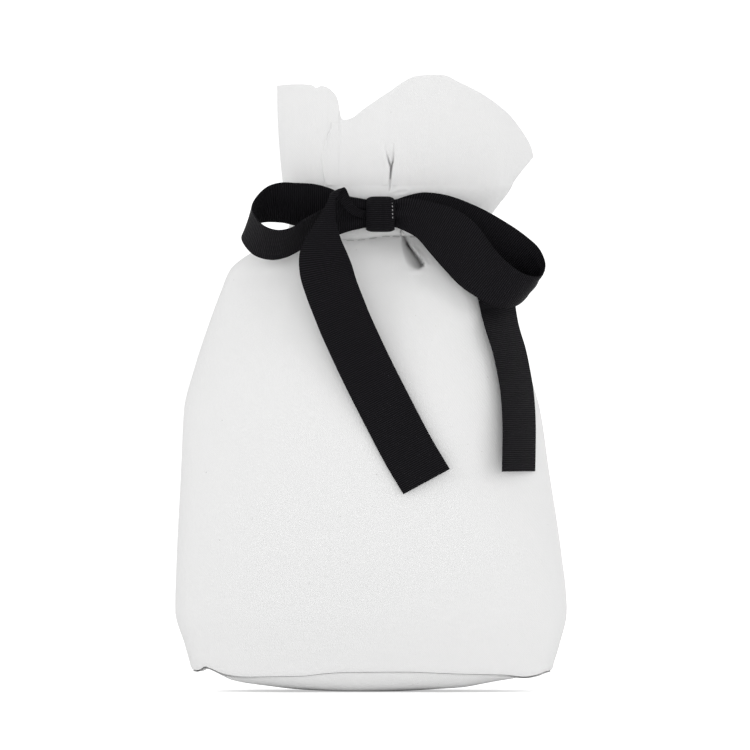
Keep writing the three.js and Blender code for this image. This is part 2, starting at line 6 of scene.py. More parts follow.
import bpy
import numpy as np
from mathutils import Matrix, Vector

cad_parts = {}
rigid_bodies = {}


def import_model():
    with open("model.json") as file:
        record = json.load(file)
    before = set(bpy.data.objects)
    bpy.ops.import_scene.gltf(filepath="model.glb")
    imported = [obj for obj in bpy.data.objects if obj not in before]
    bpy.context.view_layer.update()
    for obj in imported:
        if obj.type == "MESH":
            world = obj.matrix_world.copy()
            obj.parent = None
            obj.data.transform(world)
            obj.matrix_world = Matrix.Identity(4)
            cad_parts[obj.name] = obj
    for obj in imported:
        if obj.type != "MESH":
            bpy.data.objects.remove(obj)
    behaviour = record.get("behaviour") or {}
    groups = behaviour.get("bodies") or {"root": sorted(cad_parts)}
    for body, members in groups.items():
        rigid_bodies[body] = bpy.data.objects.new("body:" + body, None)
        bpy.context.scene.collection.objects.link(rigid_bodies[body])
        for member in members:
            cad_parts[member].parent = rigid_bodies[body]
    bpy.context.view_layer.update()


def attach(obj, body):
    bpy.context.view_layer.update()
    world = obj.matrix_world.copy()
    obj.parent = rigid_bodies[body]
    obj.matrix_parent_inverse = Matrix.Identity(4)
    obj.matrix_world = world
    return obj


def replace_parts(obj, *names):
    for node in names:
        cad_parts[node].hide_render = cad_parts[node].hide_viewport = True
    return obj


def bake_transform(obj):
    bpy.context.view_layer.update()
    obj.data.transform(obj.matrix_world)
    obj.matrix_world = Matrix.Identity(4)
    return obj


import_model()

MM = 0.001
TAU = 2 * math.pi

# Sizes in mm, as in the CAD model, but WAIST_RIGHT and COLLAR_RIGHT are 2 and 1.7 mm more, to follow
# the photograph
BODY_HEIGHT, BODY_LEFT, BODY_RIGHT, BODY_DEPTH = 190.5, 82.7, 81.9, 37.5
NECK_LEFT, NECK_RIGHT, NECK_DEPTH = 36, 45.5, 13
WAIST_LEFT, WAIST_RIGHT, WAIST_DEPTH = 31.5, 46, 12.5
COLLAR_LEFT, COLLAR_RIGHT, COLLAR_DEPTH, COLLAR_CORNER_LEAN = 37.4, 58.7, 14.5, 6
CHANNEL_BOTTOM, CHANNEL_HEIGHT, CHANNEL_PUFF = 190.8, 21, 3.4
COLLAR_FOOT = 212.1
WAIST_SHARE = 0.33  # how far up the channel its narrowest place lies
NECK_SQUARENESS = 2.1
SEAM_LEVEL = 8.0  # the base seam follows the outline at this height
BELLY_LEVEL = 60.0  # the cloth's width is measured along the outline at this height
FINE_ROWS_FROM = 172  # above this height the cloth has finer rows, for the pleat and the channel
KNOT_X, KNOT_Y, KNOT_Z = 3.8, -22, 200.46
KNOT_WIDTH, KNOT_HEIGHT, KNOT_DEPTH = 12.6, 13.9, 9
RIBBON_WIDTH = 22
RIBBON_IN_CHANNEL = 17.5  # the ribbon's height inside the channel
NECK_RUN_LENGTH = 176
TAIL_CLEARANCE = 1.2

# Real thicknesses of the cloth and the ribbon
CLOTH = 0.55
RIBBON = 0.45

# The body's cloth is tucked behind the collar: how far behind the collar's face, and how high
TUCK = 0.85
TUCK_HEIGHT = 2.6

# Height share, swell of left, right and depth from neck to fullest, squareness
BODY_OUTLINE = [
    [0.0, 0.82, 0.79, 0.71, 4.2], [0.055, 0.86, 0.84, 0.77, 4.0], [0.1, 0.91, 0.91, 0.84, 3.6],
    [0.178, 1.0, 1.0, 0.94, 3.2], [0.31, 0.983, 0.931, 1.0, 2.9], [0.488, 0.946, 0.791, 0.955, 2.6],
    [0.62, 0.921, 0.69, 0.857, 2.4], [0.709, 0.831, 0.56, 0.755, 2.3], [0.798, 0.713, 0.459, 0.612, 2.2],
    [0.882, 0.587, 0.316, 0.408, 2.2], [0.929, 0.505, 0.22, 0.245, 2.1], [0.958, 0.37, 0.15, 0.155, 2.1],
    [0.98, 0.2, 0.08, 0.07, 2.1], [1.0, 0.0, 0.0, 0.0, 2.1],
]

# Height of the base seam along the front, by x: the corners hang as small ears
SEAM_HEIGHT = [
    [-76, 9.6], [-73.5, 9.2], [-71.5, 9.8], [-69.5, 10.9], [-68, 10.4], [-61, 7.6], [-53, 6.7], [-40, 6.9],
    [-29, 7.1], [-21, 8.0], [-12, 8.6], [12, 8.8], [36, 8.0], [56, 7.5], [64, 6.7],
    [69, 7.4], [73.5, 8.9], [76, 9.2],
]

# Lowest line of the base, by x
BASE_SAG = [
    [-76, 9.2], [-67.8, 9.6], [-63.8, 7.6], [-58.8, 5.2], [-49.1, 3.3], [-32.9, 1.1], [-20, 0.3], [-9.2, 0],
    [4, 0], [10.9, 0.1], [23.9, 0.8], [37.8, 1.9], [46.6, 3.4], [60.9, 5.9], [64.3, 6.6],
    [70.1, 7.6], [76, 9.2],
]

# The small pleat beside the knot: height, left edge and right edge of its hollow
PLEAT = [
    [176.6, 18.0, 18.6], [177.4, 16.9, 20.0], [178.4, 15.2, 21.3], [180, 14.0, 20.5], [183.8, 12.9, 17.8],
    [186.9, 12.5, 15.5], [190.4, 12.0, 13.8], [193.0, 11.7, 12.3],
]

# The crease above the knot, two prongs that meet: height, middle x, half the way between the prongs, depth
CREASE = [
    [209.5, 7.4, 0, 0.5], [213, 7.5, 0, 1.6], [217, 7.8, 0, 3.2], [219.7, 8.0, 0.1, 4.0], [222, 7.9, 0.8, 2.8],
    [226, 7.5, 1.5, 0.8], [230, 7.05, 2.1, 0.15], [232, 6.9, 2.3, 0],
]


def smooth(rows, column, at):
    """Steady cubic through a table's rows, by its first column."""
    rows = np.asarray(rows, float)
    xs, ys = rows[:, 0], rows[:, column]
    h = np.diff(xs)
    d = np.diff(ys) / h
    both = d[:-1] * d[1:]
    steady = np.where(both > 0, 2 * both / np.where(both > 0, d[:-1] + d[1:], 1), 0)
    m = np.concatenate([[d[0]], steady, [d[-1]]])
    at = np.clip(np.asarray(at, float), xs[0], xs[-1])
    i = np.clip(np.searchsorted(xs, at, side="right") - 1, 0, len(h) - 1)
    t = (at - xs[i]) / h[i]
    b = t * t * (3 - 2 * t)
    return ys[i] * (1 - b) + ys[i + 1] * b + h[i] * t * (1 - t) * (m[i] * (1 - t) - m[i + 1] * t)


def spline(points, at):
    """Catmull-Rom curve through points, at places from 0 to the last point's number."""
    p = np.asarray(points, float)
    at = np.clip(np.asarray(at, float), 0, len(p) - 1)
    i = np.minimum(at.astype(int), len(p) - 2)
    t = (at - i)[..., None]
    a, b, c, d = (p[np.clip(i + k, 0, len(p) - 1)] for k in (-1, 0, 1, 2))
    return b + 0.5 * t * (c - a + t * (2 * a - 5 * b + 4 * c - d + t * (3 * (b - c) + d - a)))


def ramp(x, low, high):
    """Rises smoothly from 0 at low to 1 at high."""
    t = np.clip((np.asarray(x, float) - low) / (high - low), 0, 1)
    return t * t * (3 - 2 * t)


def bell(x, centre, width):
    return np.exp(-(((np.asarray(x, float) - centre) / width) ** 2))


def from_seams(q, width):
    """0 at the side seams, 1 where share q of the half way round is width or more from them."""
    q = np.asarray(q, float)
    return ramp(np.minimum(q, 1 - q), 0, width)


def run_along(points):
    """Length along a row of points, from the first point to each."""
    return np.concatenate([[0], np.cumsum(np.linalg.norm(np.diff(points, axis=0), axis=1))])


# ---- the bag's outline, as a table of points spread evenly along each half outline
def swell(neck, body, share):
    """A size of the body's outline, as a share of the way from the neck's size to the fullest."""
    return neck + (body - neck) * share


OUTLINES = [
    [
        height * BODY_HEIGHT,
        swell(NECK_LEFT, BODY_LEFT, left),
        swell(NECK_RIGHT, BODY_RIGHT, right),
        swell(NECK_DEPTH, BODY_DEPTH, depth),
        squareness,
    ]
    for height, left, right, depth, squareness in BODY_OUTLINE
] + [
    [CHANNEL_BOTTOM + CHANNEL_HEIGHT * WAIST_SHARE, WAIST_LEFT, WAIST_RIGHT, WAIST_DEPTH, NECK_SQUARENESS],
    [COLLAR_FOOT, COLLAR_LEFT, COLLAR_RIGHT, COLLAR_DEPTH, NECK_SQUARENESS],
]
Z_STEPS, Q_STEPS = 424, 400


def outline_table():
    made = np.zeros((Z_STEPS + 1, Q_STEPS + 1, 2))
    angle = np.linspace(0, math.pi, 3001)
    share = np.linspace(0, 1, Q_STEPS + 1)
    for k, z in enumerate(np.linspace(0, COLLAR_FOOT, Z_STEPS + 1)):
        left, right, depth, n = (float(smooth(OUTLINES, c, z)) for c in (1, 2, 3, 4))
        across = -np.sign(np.cos(angle)) * np.abs(np.cos(angle)) ** (2 / n)
        x = (right - left) / 2 + across * (left + right) / 2
        y = np.abs(np.sin(angle)) ** (2 / n) * depth
        run = run_along(np.stack([x, y], 1))
        made[k, :, 0] = np.interp(share * run[-1], run, x)
        made[k, :, 1] = np.interp(share * run[-1], run, y)
    return made


OUTLINE = outline_table()


def on_bag(q, z, out=0.0):
    """x and depth of the outline at height z and share q of the half way round, moved out by some mm."""
    q, z, out = np.broadcast_arrays(np.asarray(q, float), np.asarray(z, float), np.asarray(out, float))

    def look(qq):
        fz = np.clip(z / COLLAR_FOOT, 0, 1) * Z_STEPS
        fq = np.clip(qq, 0, 1) * Q_STEPS
        iz, iq = np.minimum(fz.astype(int), Z_STEPS - 1), np.minimum(fq.astype(int), Q_STEPS - 1)
        tz, tq = (fz - iz)[..., None], (fq - iq)[..., None]
        low = OUTLINE[iz, iq] * (1 - tq) + OUTLINE[iz, iq + 1] * tq
        high = OUTLINE[iz + 1, iq] * (1 - tq) + OUTLINE[iz + 1, iq + 1] * tq
        return low * (1 - tz) + high * tz

    beside = 0.006  # the outline's direction is taken between the places this share ahead and behind
    here, ahead, behind = look(q), look(q + beside), look(q - beside)
    run = ahead - behind
    length = np.maximum(np.hypot(run[..., 0], run[..., 1]), 1e-6)
    nx, ny = -run[..., 1] / length, run[..., 0] / length
    return here[..., 0] + nx * out, np.maximum(here[..., 1] + ny * out * from_seams(q, 0.004), 0)


def seam_height(q):
    """Height of the base seam at share q of the half way round."""
    return smooth(SEAM_HEIGHT, 1, on_bag(q, SEAM_LEVEL)[0])


def whole_turn(columns):
    """Places round the bag, 0 to 2 from the left seam over the front, with their share q and side."""
    turn = np.arange(columns) / columns * 2
    return turn, np.where(turn <= 1, turn, 2 - turn), np.where(turn <= 1, -1.0, 1.0)


def front_depth(x, z):
    """Depth of the plain outline at x and height z."""
    left, right, depth, n = (smooth(OUTLINES, c, z) for c in (1, 2, 3, 4))
    share = np.minimum(np.abs(x - (right - left) / 2) / ((left + right) / 2), 1)
    return depth * (1 - share ** n) ** (1 / n)


# ---- meshes
SIDE_NAME = {-1: "front", 1: "back"}
END_NAME = {-1: "left", 1: "right"}
SHARP_ANGLE = 1.0  # radians


def obj_from(name, verts, faces, coords):
    """A smooth mesh. coords go across and along the weave in mm; the third marks where the ribbon's edge loops
    get a painted glint.
    """
    mesh = bpy.data.meshes.new(name)
    mesh.from_pydata([tuple(v) for v in np.asarray(verts, float) * MM], [], faces)
    mesh.polygons.foreach_set("use_smooth", [True] * len(mesh.polygons))
    layer = mesh.attributes.new("weave", "FLOAT_VECTOR", "POINT")
    layer.data.foreach_set("vector", np.ascontiguousarray(coords, np.float32).ravel())
    mesh.validate()
    mesh.set_sharp_from_angle(angle=SHARP_ANGLE)
    made = bpy.data.objects.new(name, mesh)
    bpy.context.scene.collection.objects.link(made)
    return made


def grid_normals(p, ring=False):
    """Unit normals of a grid of points, rows first."""
    if ring:
        du = np.roll(p, -1, 1) - np.roll(p, 1, 1)
    else:
        du = np.gradient(p, axis=1)
    n = np.cross(du, np.gradient(p, axis=0))
    return n / np.maximum(np.linalg.norm(n, axis=2, keepdims=True), 1e-9)


def shell(name, outer, inner, coords, ring=False, cap=False):
    """A sheet with two faces and a rim, from grids of points, rows first. cap closes a ring's first row."""
    rows, cols = outer.shape[:2]
    verts = np.concatenate([outer.reshape(-1, 3), inner.reshape(-1, 3)])
    both = np.zeros((len(verts), 3))
    both[:, :coords.shape[2]] = np.tile(coords.reshape(rows * cols, -1), (2, 1))
    layer = rows * cols
    j, i = np.meshgrid(np.arange(rows - 1), np.arange(cols if ring else cols - 1), indexing="ij")
    j, i = j.ravel(), i.ravel()
    k = (i + 1) % cols
    a, b, c, d = j * cols + i, j * cols + k, (j + 1) * cols + k, (j + 1) * cols + i
    faces = [np.stack([a, b, c, d], 1), np.stack([a, d, c, b], 1) + layer]
    i = np.arange(cols if ring else cols - 1)
    k = (i + 1) % cols
    top = (rows - 1) * cols
    if not cap:
        faces.append(np.stack([i, i + layer, k + layer, k], 1))
    faces.append(np.stack([i, k, k + layer, i + layer], 1) + top)
    if not ring:
        s = np.arange(rows - 1) * cols
        faces.append(np.stack([s, s + cols, s + cols + layer, s + layer], 1))
        e = s + cols - 1
        faces.append(np.stack([e, e + layer, e + cols + layer, e + cols], 1))
    quads = np.concatenate(faces)
    centre = verts[quads].mean(1)
    corner = verts[quads]
    area = np.cross(corner[:, 2] - corner[:, 0], corner[:, 3] - corner[:, 1])
    flux = np.einsum("ij,ij->i", centre, area).sum()
    turn = -1 if flux < 0 else 1
    faces = quads[:, ::turn].tolist()
    if cap:
        faces += [list(range(cols))[::-turn], list(range(layer, layer + cols))[::turn]]
    return obj_from(name, verts, faces, both)


def sheet_of(name, points, thickness, coords, side=1):
    """A sheet whose outer face is the grid points. Its inner face lies behind it, towards side."""
    return shell(name, points, points - side * thickness * grid_normals(points), coords)


def tube_faces(first, rows, ring):
    """Faces of a tube with closed ends: rows of ring vertices each, from vertex first on."""
    faces = []
    for o in range(first, first + (rows - 1) * ring, ring):
        for i in range(ring):
            after = (i + 1) % ring
            faces.append((o + i, o + after, o + ring + after, o + ring + i))
    last = first + (rows - 1) * ring
    return faces + [tuple(range(first, first + ring))[::-1], tuple(range(last, last + ring))]


# ---- materials. The weaves' pitches are in mm.
TWILL_PITCH, YARN_PITCH, TWILL_ACROSS, TWILL_UP = 0.66, 0.42, 0.77, -0.64
RIB_PITCH, WARP_PITCH, TWIST_PITCH = 0.84, 0.31, 0.35
FLECK = (0.30, 0.29, 0.27)
# The ribbon's ribs are striped from near-black to a lighter grey that is a painted highlight on each rib.
RIB_DARK = (0.0005, 0.0005, 0.0007)
RIB_PAINTED_HIGHLIGHT = (0.0160, 0.0149, 0.0178)
RIB_SLUB = (0.0080, 0.0074, 0.0090)
# The light grey of the edge loops is a painted glint.
LOOP_PAINTED_GLINT = (0.42, 0.41, 0.42)


def nodes_of(name):
    m = bpy.data.materials.new(name)
    m.use_nodes = True
    tree = m.node_tree
    return m, tree, tree.nodes["Principled BSDF"]


def value(tree, operation, *inputs):
    n = tree.nodes.new("ShaderNodeMath")
    n.operation = operation
    for k, v in enumerate(inputs):
        if isinstance(v, (int, float)):
            n.inputs[k].default_value = v
        else:
            tree.links.new(v, n.inputs[k])
    return n.outputs[0]


def noise(tree, vector, scale, detail, rough=0.5):
    n = tree.nodes.new("ShaderNodeTexNoise")
    n.inputs["Scale"].default_value = scale
    n.inputs["Detail"].default_value = detail
    n.inputs["Roughness"].default_value = rough
    tree.links.new(vector, n.inputs["Vector"])
    return n.outputs["Fac"]


def blend_color(tree, fac, a, b):
    n = tree.nodes.new("ShaderNodeMix")
    n.data_type = "RGBA"
    tree.links.new(fac, n.inputs["Factor"])
    for socket, v in ((n.inputs[6], a), (n.inputs[7], b)):
        if isinstance(v, tuple):
            socket.default_value = (*v, 1)
        else:
            tree.links.new(v, socket)
    return n.outputs[2]


def bump(tree, shader, height, distance, strength=1.0):
    n = tree.nodes.new("ShaderNodeBump")
    n.inputs["Distance"].default_value = distance
    n.inputs["Strength"].default_value = strength
    tree.links.new(height, n.inputs["Height"])
    tree.links.new(n.outputs[0], shader.inputs["Normal"])


def weave_axes(tree):
    attribute = tree.nodes.new("ShaderNodeAttribute")
    attribute.attribute_name = "weave"
    split = tree.nodes.new("ShaderNodeSeparateXYZ")
    tree.links.new(attribute.outputs["Vector"], split.inputs[0])
    return attribute.outputs["Vector"], *split.outputs


def stripes(tree, place, pitch):
    """0 to 1 waves along a measure in mm."""
    wave = value(tree, "SINE", value(tree, "MULTIPLY", place, TAU / pitch))
    return value(tree, "MULTIPLY_ADD", wave, 0.5, 0.5)


def cotton(name, tone, shade):
    """Fine diagonal twill with uneven yarns, soft clouds and a few seed flecks."""
    m, tree, shader = nodes_of(name)
    vector, across, up, _ = weave_axes(tree)
    diagonal = value(tree, "MULTIPLY_ADD", across, TWILL_ACROSS, value(tree, "MULTIPLY", up, TWILL_UP))
    wander = noise(tree, vector, 0.22, 2.0)
    twill = stripes(tree, value(tree, "MULTIPLY_ADD", wander, 0.5, diagonal), TWILL_PITCH)
    yarn = stripes(tree, up, YARN_PITCH)
    slub = noise(tree, vector, 1.1, 4.0, 0.65)
    cloud = noise(tree, vector, 0.035, 3.0)
    base = blend_color(tree, twill, tuple(t * 0.955 for t in tone), tone)
    base = blend_color(tree, value(tree, "MULTIPLY", slub, 0.12), base, shade)
    base = blend_color(tree, value(tree, "MULTIPLY", cloud, 0.05), base, shade)
    fleck = tree.nodes.new("ShaderNodeTexVoronoi")
    fleck.inputs["Scale"].default_value = 0.17
    fleck.inputs["Randomness"].default_value = 1.0
    tree.links.new(vector, fleck.inputs["Vector"])
    spot = value(tree, "LESS_THAN", fleck.outputs["Distance"], 0.05)
    some = value(tree, "GREATER_THAN", noise(tree, vector, 0.31, 0.0), 0.52)
    speck = value(tree, "MULTIPLY", value(tree, "MULTIPLY", spot, some), 0.35)
    base = blend_color(tree, speck, base, FLECK)
    tree.links.new(base, shader.inputs["Base Color"])
    shader.inputs["Roughness"].default_value = 0.93
    shader.inputs["Specular IOR Level"].default_value = 0.15
    shader.inputs["Sheen Weight"].default_value = 0.08
    shader.inputs["Sheen Roughness"].default_value = 0.6
    height = value(tree, "ADD", value(tree, "MULTIPLY", twill, 0.5), value(tree, "MULTIPLY", yarn, 0.15))
    height = value(tree, "ADD", height, value(tree, "MULTIPLY", slub, 0.9))
    bump(tree, shader, height, 0.00009, 0.8)
    return m


def grosgrain(name):
    """Ribs across the ribbon with painted highlights, fine warp along it, and painted glints on the edge loops
    where the third weave coordinate is 1.
    """
    m, tree, shader = nodes_of(name)
    vector, across, along, painted_glint_mask = weave_axes(tree)
    wander = noise(tree, vector, 0.5, 2.0)
    rib = stripes(tree, value(tree, "MULTIPLY_ADD", wander, 0.12, along), RIB_PITCH)
    warp = stripes(tree, across, WARP_PITCH)
    # painted glints on the edge loops: light grey on every other rib, where the mask is set
    loop = value(tree, "GREATER_THAN", stripes(tree, along, 2 * RIB_PITCH), 0.6)
    glint = value(tree, "MULTIPLY", value(tree, "GREATER_THAN", painted_glint_mask, 0.5), loop)
    slub = noise(tree, vector, 1.3, 3.0, 0.6)
    # painted highlight: each rib is coloured lighter where it stands highest, near-black between the ribs
    base = blend_color(tree, rib, RIB_DARK, RIB_PAINTED_HIGHLIGHT)
    base = blend_color(tree, value(tree, "MULTIPLY", slub, 0.35), base, RIB_SLUB)
    base = blend_color(tree, value(tree, "MULTIPLY", glint, 0.8), base, LOOP_PAINTED_GLINT)
    tree.links.new(base, shader.inputs["Base Color"])
    shader.inputs["Roughness"].default_value = 0.55
    shader.inputs["Specular IOR Level"].default_value = 0.045
    shader.inputs["Sheen Weight"].default_value = 0.002
    shader.inputs["Sheen Roughness"].default_value = 0.45
    height = value(tree, "ADD", rib, value(tree, "MULTIPLY", warp, 0.12))
    height = value(tree, "ADD", height, value(tree, "MULTIPLY", slub, 0.25))
    bump(tree, shader, height, 0.00026, 1.0)
    return m


def thread(name, tone):
    m, tree, shader = nodes_of(name)
    _, across, along, _ = weave_axes(tree)
    twist = stripes(tree, value(tree, "ADD", across, along), TWIST_PITCH)
    base = blend_color(tree, twist, tuple(t * 0.7 for t in tone), tone)
    tree.links.new(base, shader.inputs["Base Color"])
    shader.inputs["Roughness"].default_value = 0.8
    bump(tree, shader, twist, 0.00006)
    return m


COTTON = cotton("cotton_twill", (0.815, 0.815, 0.814), (0.69, 0.69, 0.685))
COTTON_INSIDE = cotton("cotton_inside", (0.80, 0.798, 0.79), (0.66, 0.655, 0.64))
GROSGRAIN = grosgrain("black_grosgrain")
THREAD = thread("grey_thread", (0.62, 0.62, 0.615))


def dress(made, material):
    made.data.materials.append(material)
    return made


# ---- front and back cloth: panel and channel wall in one, gathered at the neck
def ripple(s, waves, seed):
    """Uneven gathers: a few waves that beat against each other, from -1 to 1."""
    return sum(
        weight * np.cos(TAU * (waves * factor * s + seed * shift))
        for weight, factor, shift in ((0.5, 1.0, 0.37), (0.3, 0.63, 0.71), (0.2, 1.61, 0.13))
    )


def lower_stitches(q):
    """Height of the channel's lower edge: it climbs past the knot and drops again towards the right."""
    return CHANNEL_BOTTOM - 1.2 + 1.7 * ramp(q, 0.34, 0.55) - 3.2 * ramp(q, 0.62, 1)


def upper_stitches(q):
    """Height of the channel's upper edge, which slopes down to the right."""
    return 209 - 11.5 * np.asarray(q, float)


def channel_puff(q, z):
    """The ribbon fills the channel: it swells from the lower stitches and thins towards the collar's foot."""
    middle = CHANNEL_BOTTOM + CHANNEL_HEIGHT / 2
    low = lower_stitches(q)
    up = np.clip((z - low) / (middle - low), 0, 1)
    over = np.clip((z - middle) / (COLLAR_FOOT - middle), 0, 1)
    kept = 0.55 * from_seams(q, 0.12)
    return CHANNEL_PUFF * (1 - (1 - up) ** 2) ** 0.75 * (1 - (1 - kept) * over ** 1.5)


def neck_gathers(side, q):
    seed, height = (3.1, 0.12) if side < 0 else (5.7, 1.2)
    return ripple(q, 21, seed) * height * from_seams(q, 0.03)


def foot_out(side, q):
    """How far the collar's foot stands out from the plain outline, in mm."""
    return neck_gathers(side, q) + channel_puff(q, COLLAR_FOOT)


def cloth_out(side, q, z):
    """How far the cloth stands out from the plain outline, in mm."""
    front = side < 0
    # gathers below the channel: how many, their seed, height and reach downwards, and the seed of the sag
    waves, seed, height, reach, sag_seed = (13, 1.0, 0.4, 22, 0.4) if front else (15, 2.3, 1.5, 34, 1.9)
    low = lower_stitches(q)
    near = np.exp(-np.maximum(low - z, 0) / reach)
    in_channel = ramp(z, low - 1, low + 4)
    calm = 1 - 0.8 * bell(q, 0.52, 0.2) if front else 1
    out = ripple(q, waves, seed) * height * near * (1 - in_channel) * calm * from_seams(q, 0.03)
    out = out + neck_gathers(side, q) * in_channel
    out = out + channel_puff(q, z)
    # both stitch rows draw the cloth in
    out = out - 0.7 * bell(z, low, 0.9) - 1.3 * bell(z, upper_stitches(q), 0.9)
    sag = ripple(q + z / 600, 3.2, sag_seed) * ramp(z, 8, 60) * (1 - ramp(z, 120, 185))
    return out + 0.45 * sag * from_seams(q, 0.1)


def pleat_out(x, z):
    """The little fold beside the knot: it slopes in from the left and rolls back over at the right."""
    left, right = smooth(PLEAT, 1, z), smooth(PLEAT, 2, z)
    inside = ramp(z, 176.8, 178.6) * (1 - 0.65 * ramp(z, 187, 191.5)) * (1 - ramp(z, 192.5, 194.5))
    s = np.clip((x - left) / (right - left), 0, 1)
    wall = 1 - ramp(x, right - 0.15, right + 0.75)
    hollow = 13 * s ** 1.5 * wall * inside
    rim = 0.4 * bell(x, right + 1.5, 1.0) * ramp(z, 176, 180) * (1 - ramp(z, 186, 190))
    foot = 0.5 * bell(z, 176.0, 0.9) * bell(x, 18.5, 3.2)
    behind = 0.25 * bell(x, right + 3.6, 1.1) * ramp(z, 178, 181) * (1 - ramp(z, 184, 188))
    # a flat oval pucker in the channel, above the knot's right end
    r = np.hypot((x - 12) / 3.6, (z - 209.2 - 0.12 * (x - 12)) / 1.25)
    pucker = 0.2 * bell(r, 1, 0.3) - 0.12 * bell(r, 0, 0.7)
    return rim + foot + pucker - hollow - behind


def crease_line(x, z):
    """The crease's foot runs on from the collar into the front cloth."""
    return -smooth(CREASE, 3, z) * bell(x, smooth(CREASE, 1, z), 0.4) * ramp(z, 208.5, 210.5)


def cloth_rows(bottom):
    """Heights of the cloth's rows, from the base seam to the collar's foot."""
    share = 1 - (1 - np.linspace(0, 1, 76)) ** 1.15
    low = bottom + (FINE_ROWS_FROM - bottom) * share[:, None] ** 1.2
    fine = np.linspace(0, 1, 70)[1:, None]
    high = FINE_ROWS_FROM + (COLLAR_FOOT - FINE_ROWS_FROM) * fine * np.ones_like(bottom)
    return np.concatenate([low, high])


def body_cloth(side):
    if side < 0:
        # columns stand closer together at the crease and at the pleat
        parts = np.linspace(0, 1, 151), np.linspace(0.455, 0.49, 40), np.linspace(0.51, 0.68, 75)
        q = np.unique(np.concatenate(parts))
    else:
        q = np.linspace(0, 1, 181)
    bottom = seam_height(q)[None, :]
    z = cloth_rows(bottom)
    qq = np.broadcast_to(q, z.shape)
    roll = np.clip((z - bottom) / 0.7, 0, 1)
    out = cloth_out(side, qq, z) - 0.35 * (1 - np.sqrt(1 - (1 - roll) ** 2))
    x, depth = on_bag(qq, z, out)
    if side < 0:
        depth = depth + pleat_out(x, z) + crease_line(x, z)
    depth = np.maximum(depth, 0.12)
    points = np.stack([x, side * depth, z], 2)
    inner = points + CLOTH * grid_normals(points) * side
    tucked = [[], []]
    for z_tuck in (COLLAR_FOOT, COLLAR_FOOT + TUCK_HEIGHT):
        for layer, clear in zip(tucked, (TUCK, TUCK + CLOTH)):
            x_tuck, depth_tuck = on_bag(q, COLLAR_FOOT, foot_out(side, q) - clear)
            layer.append(np.stack([x_tuck, side * np.maximum(depth_tuck, 0.05), np.full_like(q, z_tuck)], 1))
    points, inner = (np.concatenate([grid, layer]) for grid, layer in zip((points, inner), tucked))
    run = run_along(np.stack(on_bag(q, BELLY_LEVEL), 1))
    coords = np.stack([np.broadcast_to(run - run[-1] / 2, points.shape[:2]), points[:, :, 2]], 2)
    made = shell(SIDE_NAME[side] + "_cloth", points, inner, coords)
    dress(made, COTTON)
    return made, run[-1]


front_cloth, front_width = body_cloth(-1)
back_cloth, back_width = body_cloth(1)
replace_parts(front_cloth, "front_panel", "front_channel")
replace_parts(back_cloth, "back_panel", "back_channel")


# ---- base: it sags in the middle, rises to the corners, and turns up round its rim to the seam
def base_cloth():
    _, q, side = whole_turn(260)
    share = 1 - (1 - np.linspace(0.003, 1, 44)) ** 1.5
    lip_x, lip_depth = on_bag(q, SEAM_LEVEL, -0.6)
    slot_x, slot_depth = on_bag(q, SEAM_LEVEL + 1, -3.0)
    centre = (lip_x.min() + lip_x.max()) / 2
    x = centre + (lip_x - centre)[None, :] * share[:, None]
    y = (side * lip_depth)[None, :] * share[:, None]
    seam = smooth(SEAM_HEIGHT, 1, x) - 0.75
    sag = np.minimum(smooth(BASE_SAG, 1, x), seam)
    across = np.clip(np.abs(y) / np.maximum(front_depth(x, SEAM_LEVEL) - 0.6, 1), 0, 1)
    across = np.maximum(across, ramp(share[:, None], 0.97, 1) * share[:, None])
    z = sag + (seam - sag) * (0.14 * across ** 2 + 0.86 * across ** 9)
    crumpled = ramp(share, 0.45, 0.7) * (1 - ramp(share, 0.9, 1))
    crumple = 0.22 * np.cos(x / 7.3 + 1.1) * np.cos(y / 5.9 + 0.4) * crumpled[:, None]
    z = np.maximum(z + crumple, 0)
    # past the seam the cloth goes on inside, up to the allowance
    rim_z = seam_height(q)
    x = np.concatenate([x, [slot_x, slot_x]])
    y = np.concatenate([y, [side * slot_depth, side * slot_depth]])
    z = np.concatenate([z, [rim_z - 0.4, rim_z + 1.2]])
    points = np.stack([x, y, z], 2)
    up = points + np.array([0, 0, CLOTH])
    made = shell("base_cloth", points, up, points[:, :, :2], ring=True, cap=True)
    return dress(made, COTTON)


base = base_cloth()
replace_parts(base, "base_panel")


# ---- seam allowances inside
def base_allowance():
    turn, q, side = whole_turn(240)
    v = np.linspace(0, 1, 6)[:, None]
    z = seam_height(q)[None, :] + 1.6 + 6 * v
    wave = 0.15 * np.cos(TAU * 37 * turn / 2)[None, :] * v
    layers = []
    for behind in (1.4, 2.3):
        x, depth = on_bag(q, z, -behind - wave)
        layers.append(np.stack([x, side * depth, z], 2))
    coords = np.stack([np.broadcast_to(turn * 200, z.shape), z], 2)
    made = shell("base_seam_allowance", *layers, coords, ring=True)
    return dress(made, COTTON_INSIDE)


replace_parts(base_allowance(), "base_seam")


def side_allowance(end):
    foot, top = 22, 178
    v = np.linspace(0, 1, 60)[:, None]
    u = np.linspace(0, 1, 7)[None, :]
    z = foot + (top - foot) * v + 0 * u
    wall, _ = on_bag(np.full_like(z, 0.0 if end < 0 else 1.0), z)
    x = wall - end * (1.2 + 6 * u)
    y = 0.35 * np.sin(z / 9) * u
    coords = np.stack([x, z], 2)
    made = shell(
        "side_seam_allowance_" + END_NAME[end],
        np.stack([x, y - 0.45, z], 2), np.stack([x, y + 0.45, z], 2), coords,
    )
    return dress(made, COTTON_INSIDE)


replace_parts(side_allowance(-1), "left_side_seam")
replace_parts(side_allowance(1), "right_side_seam")


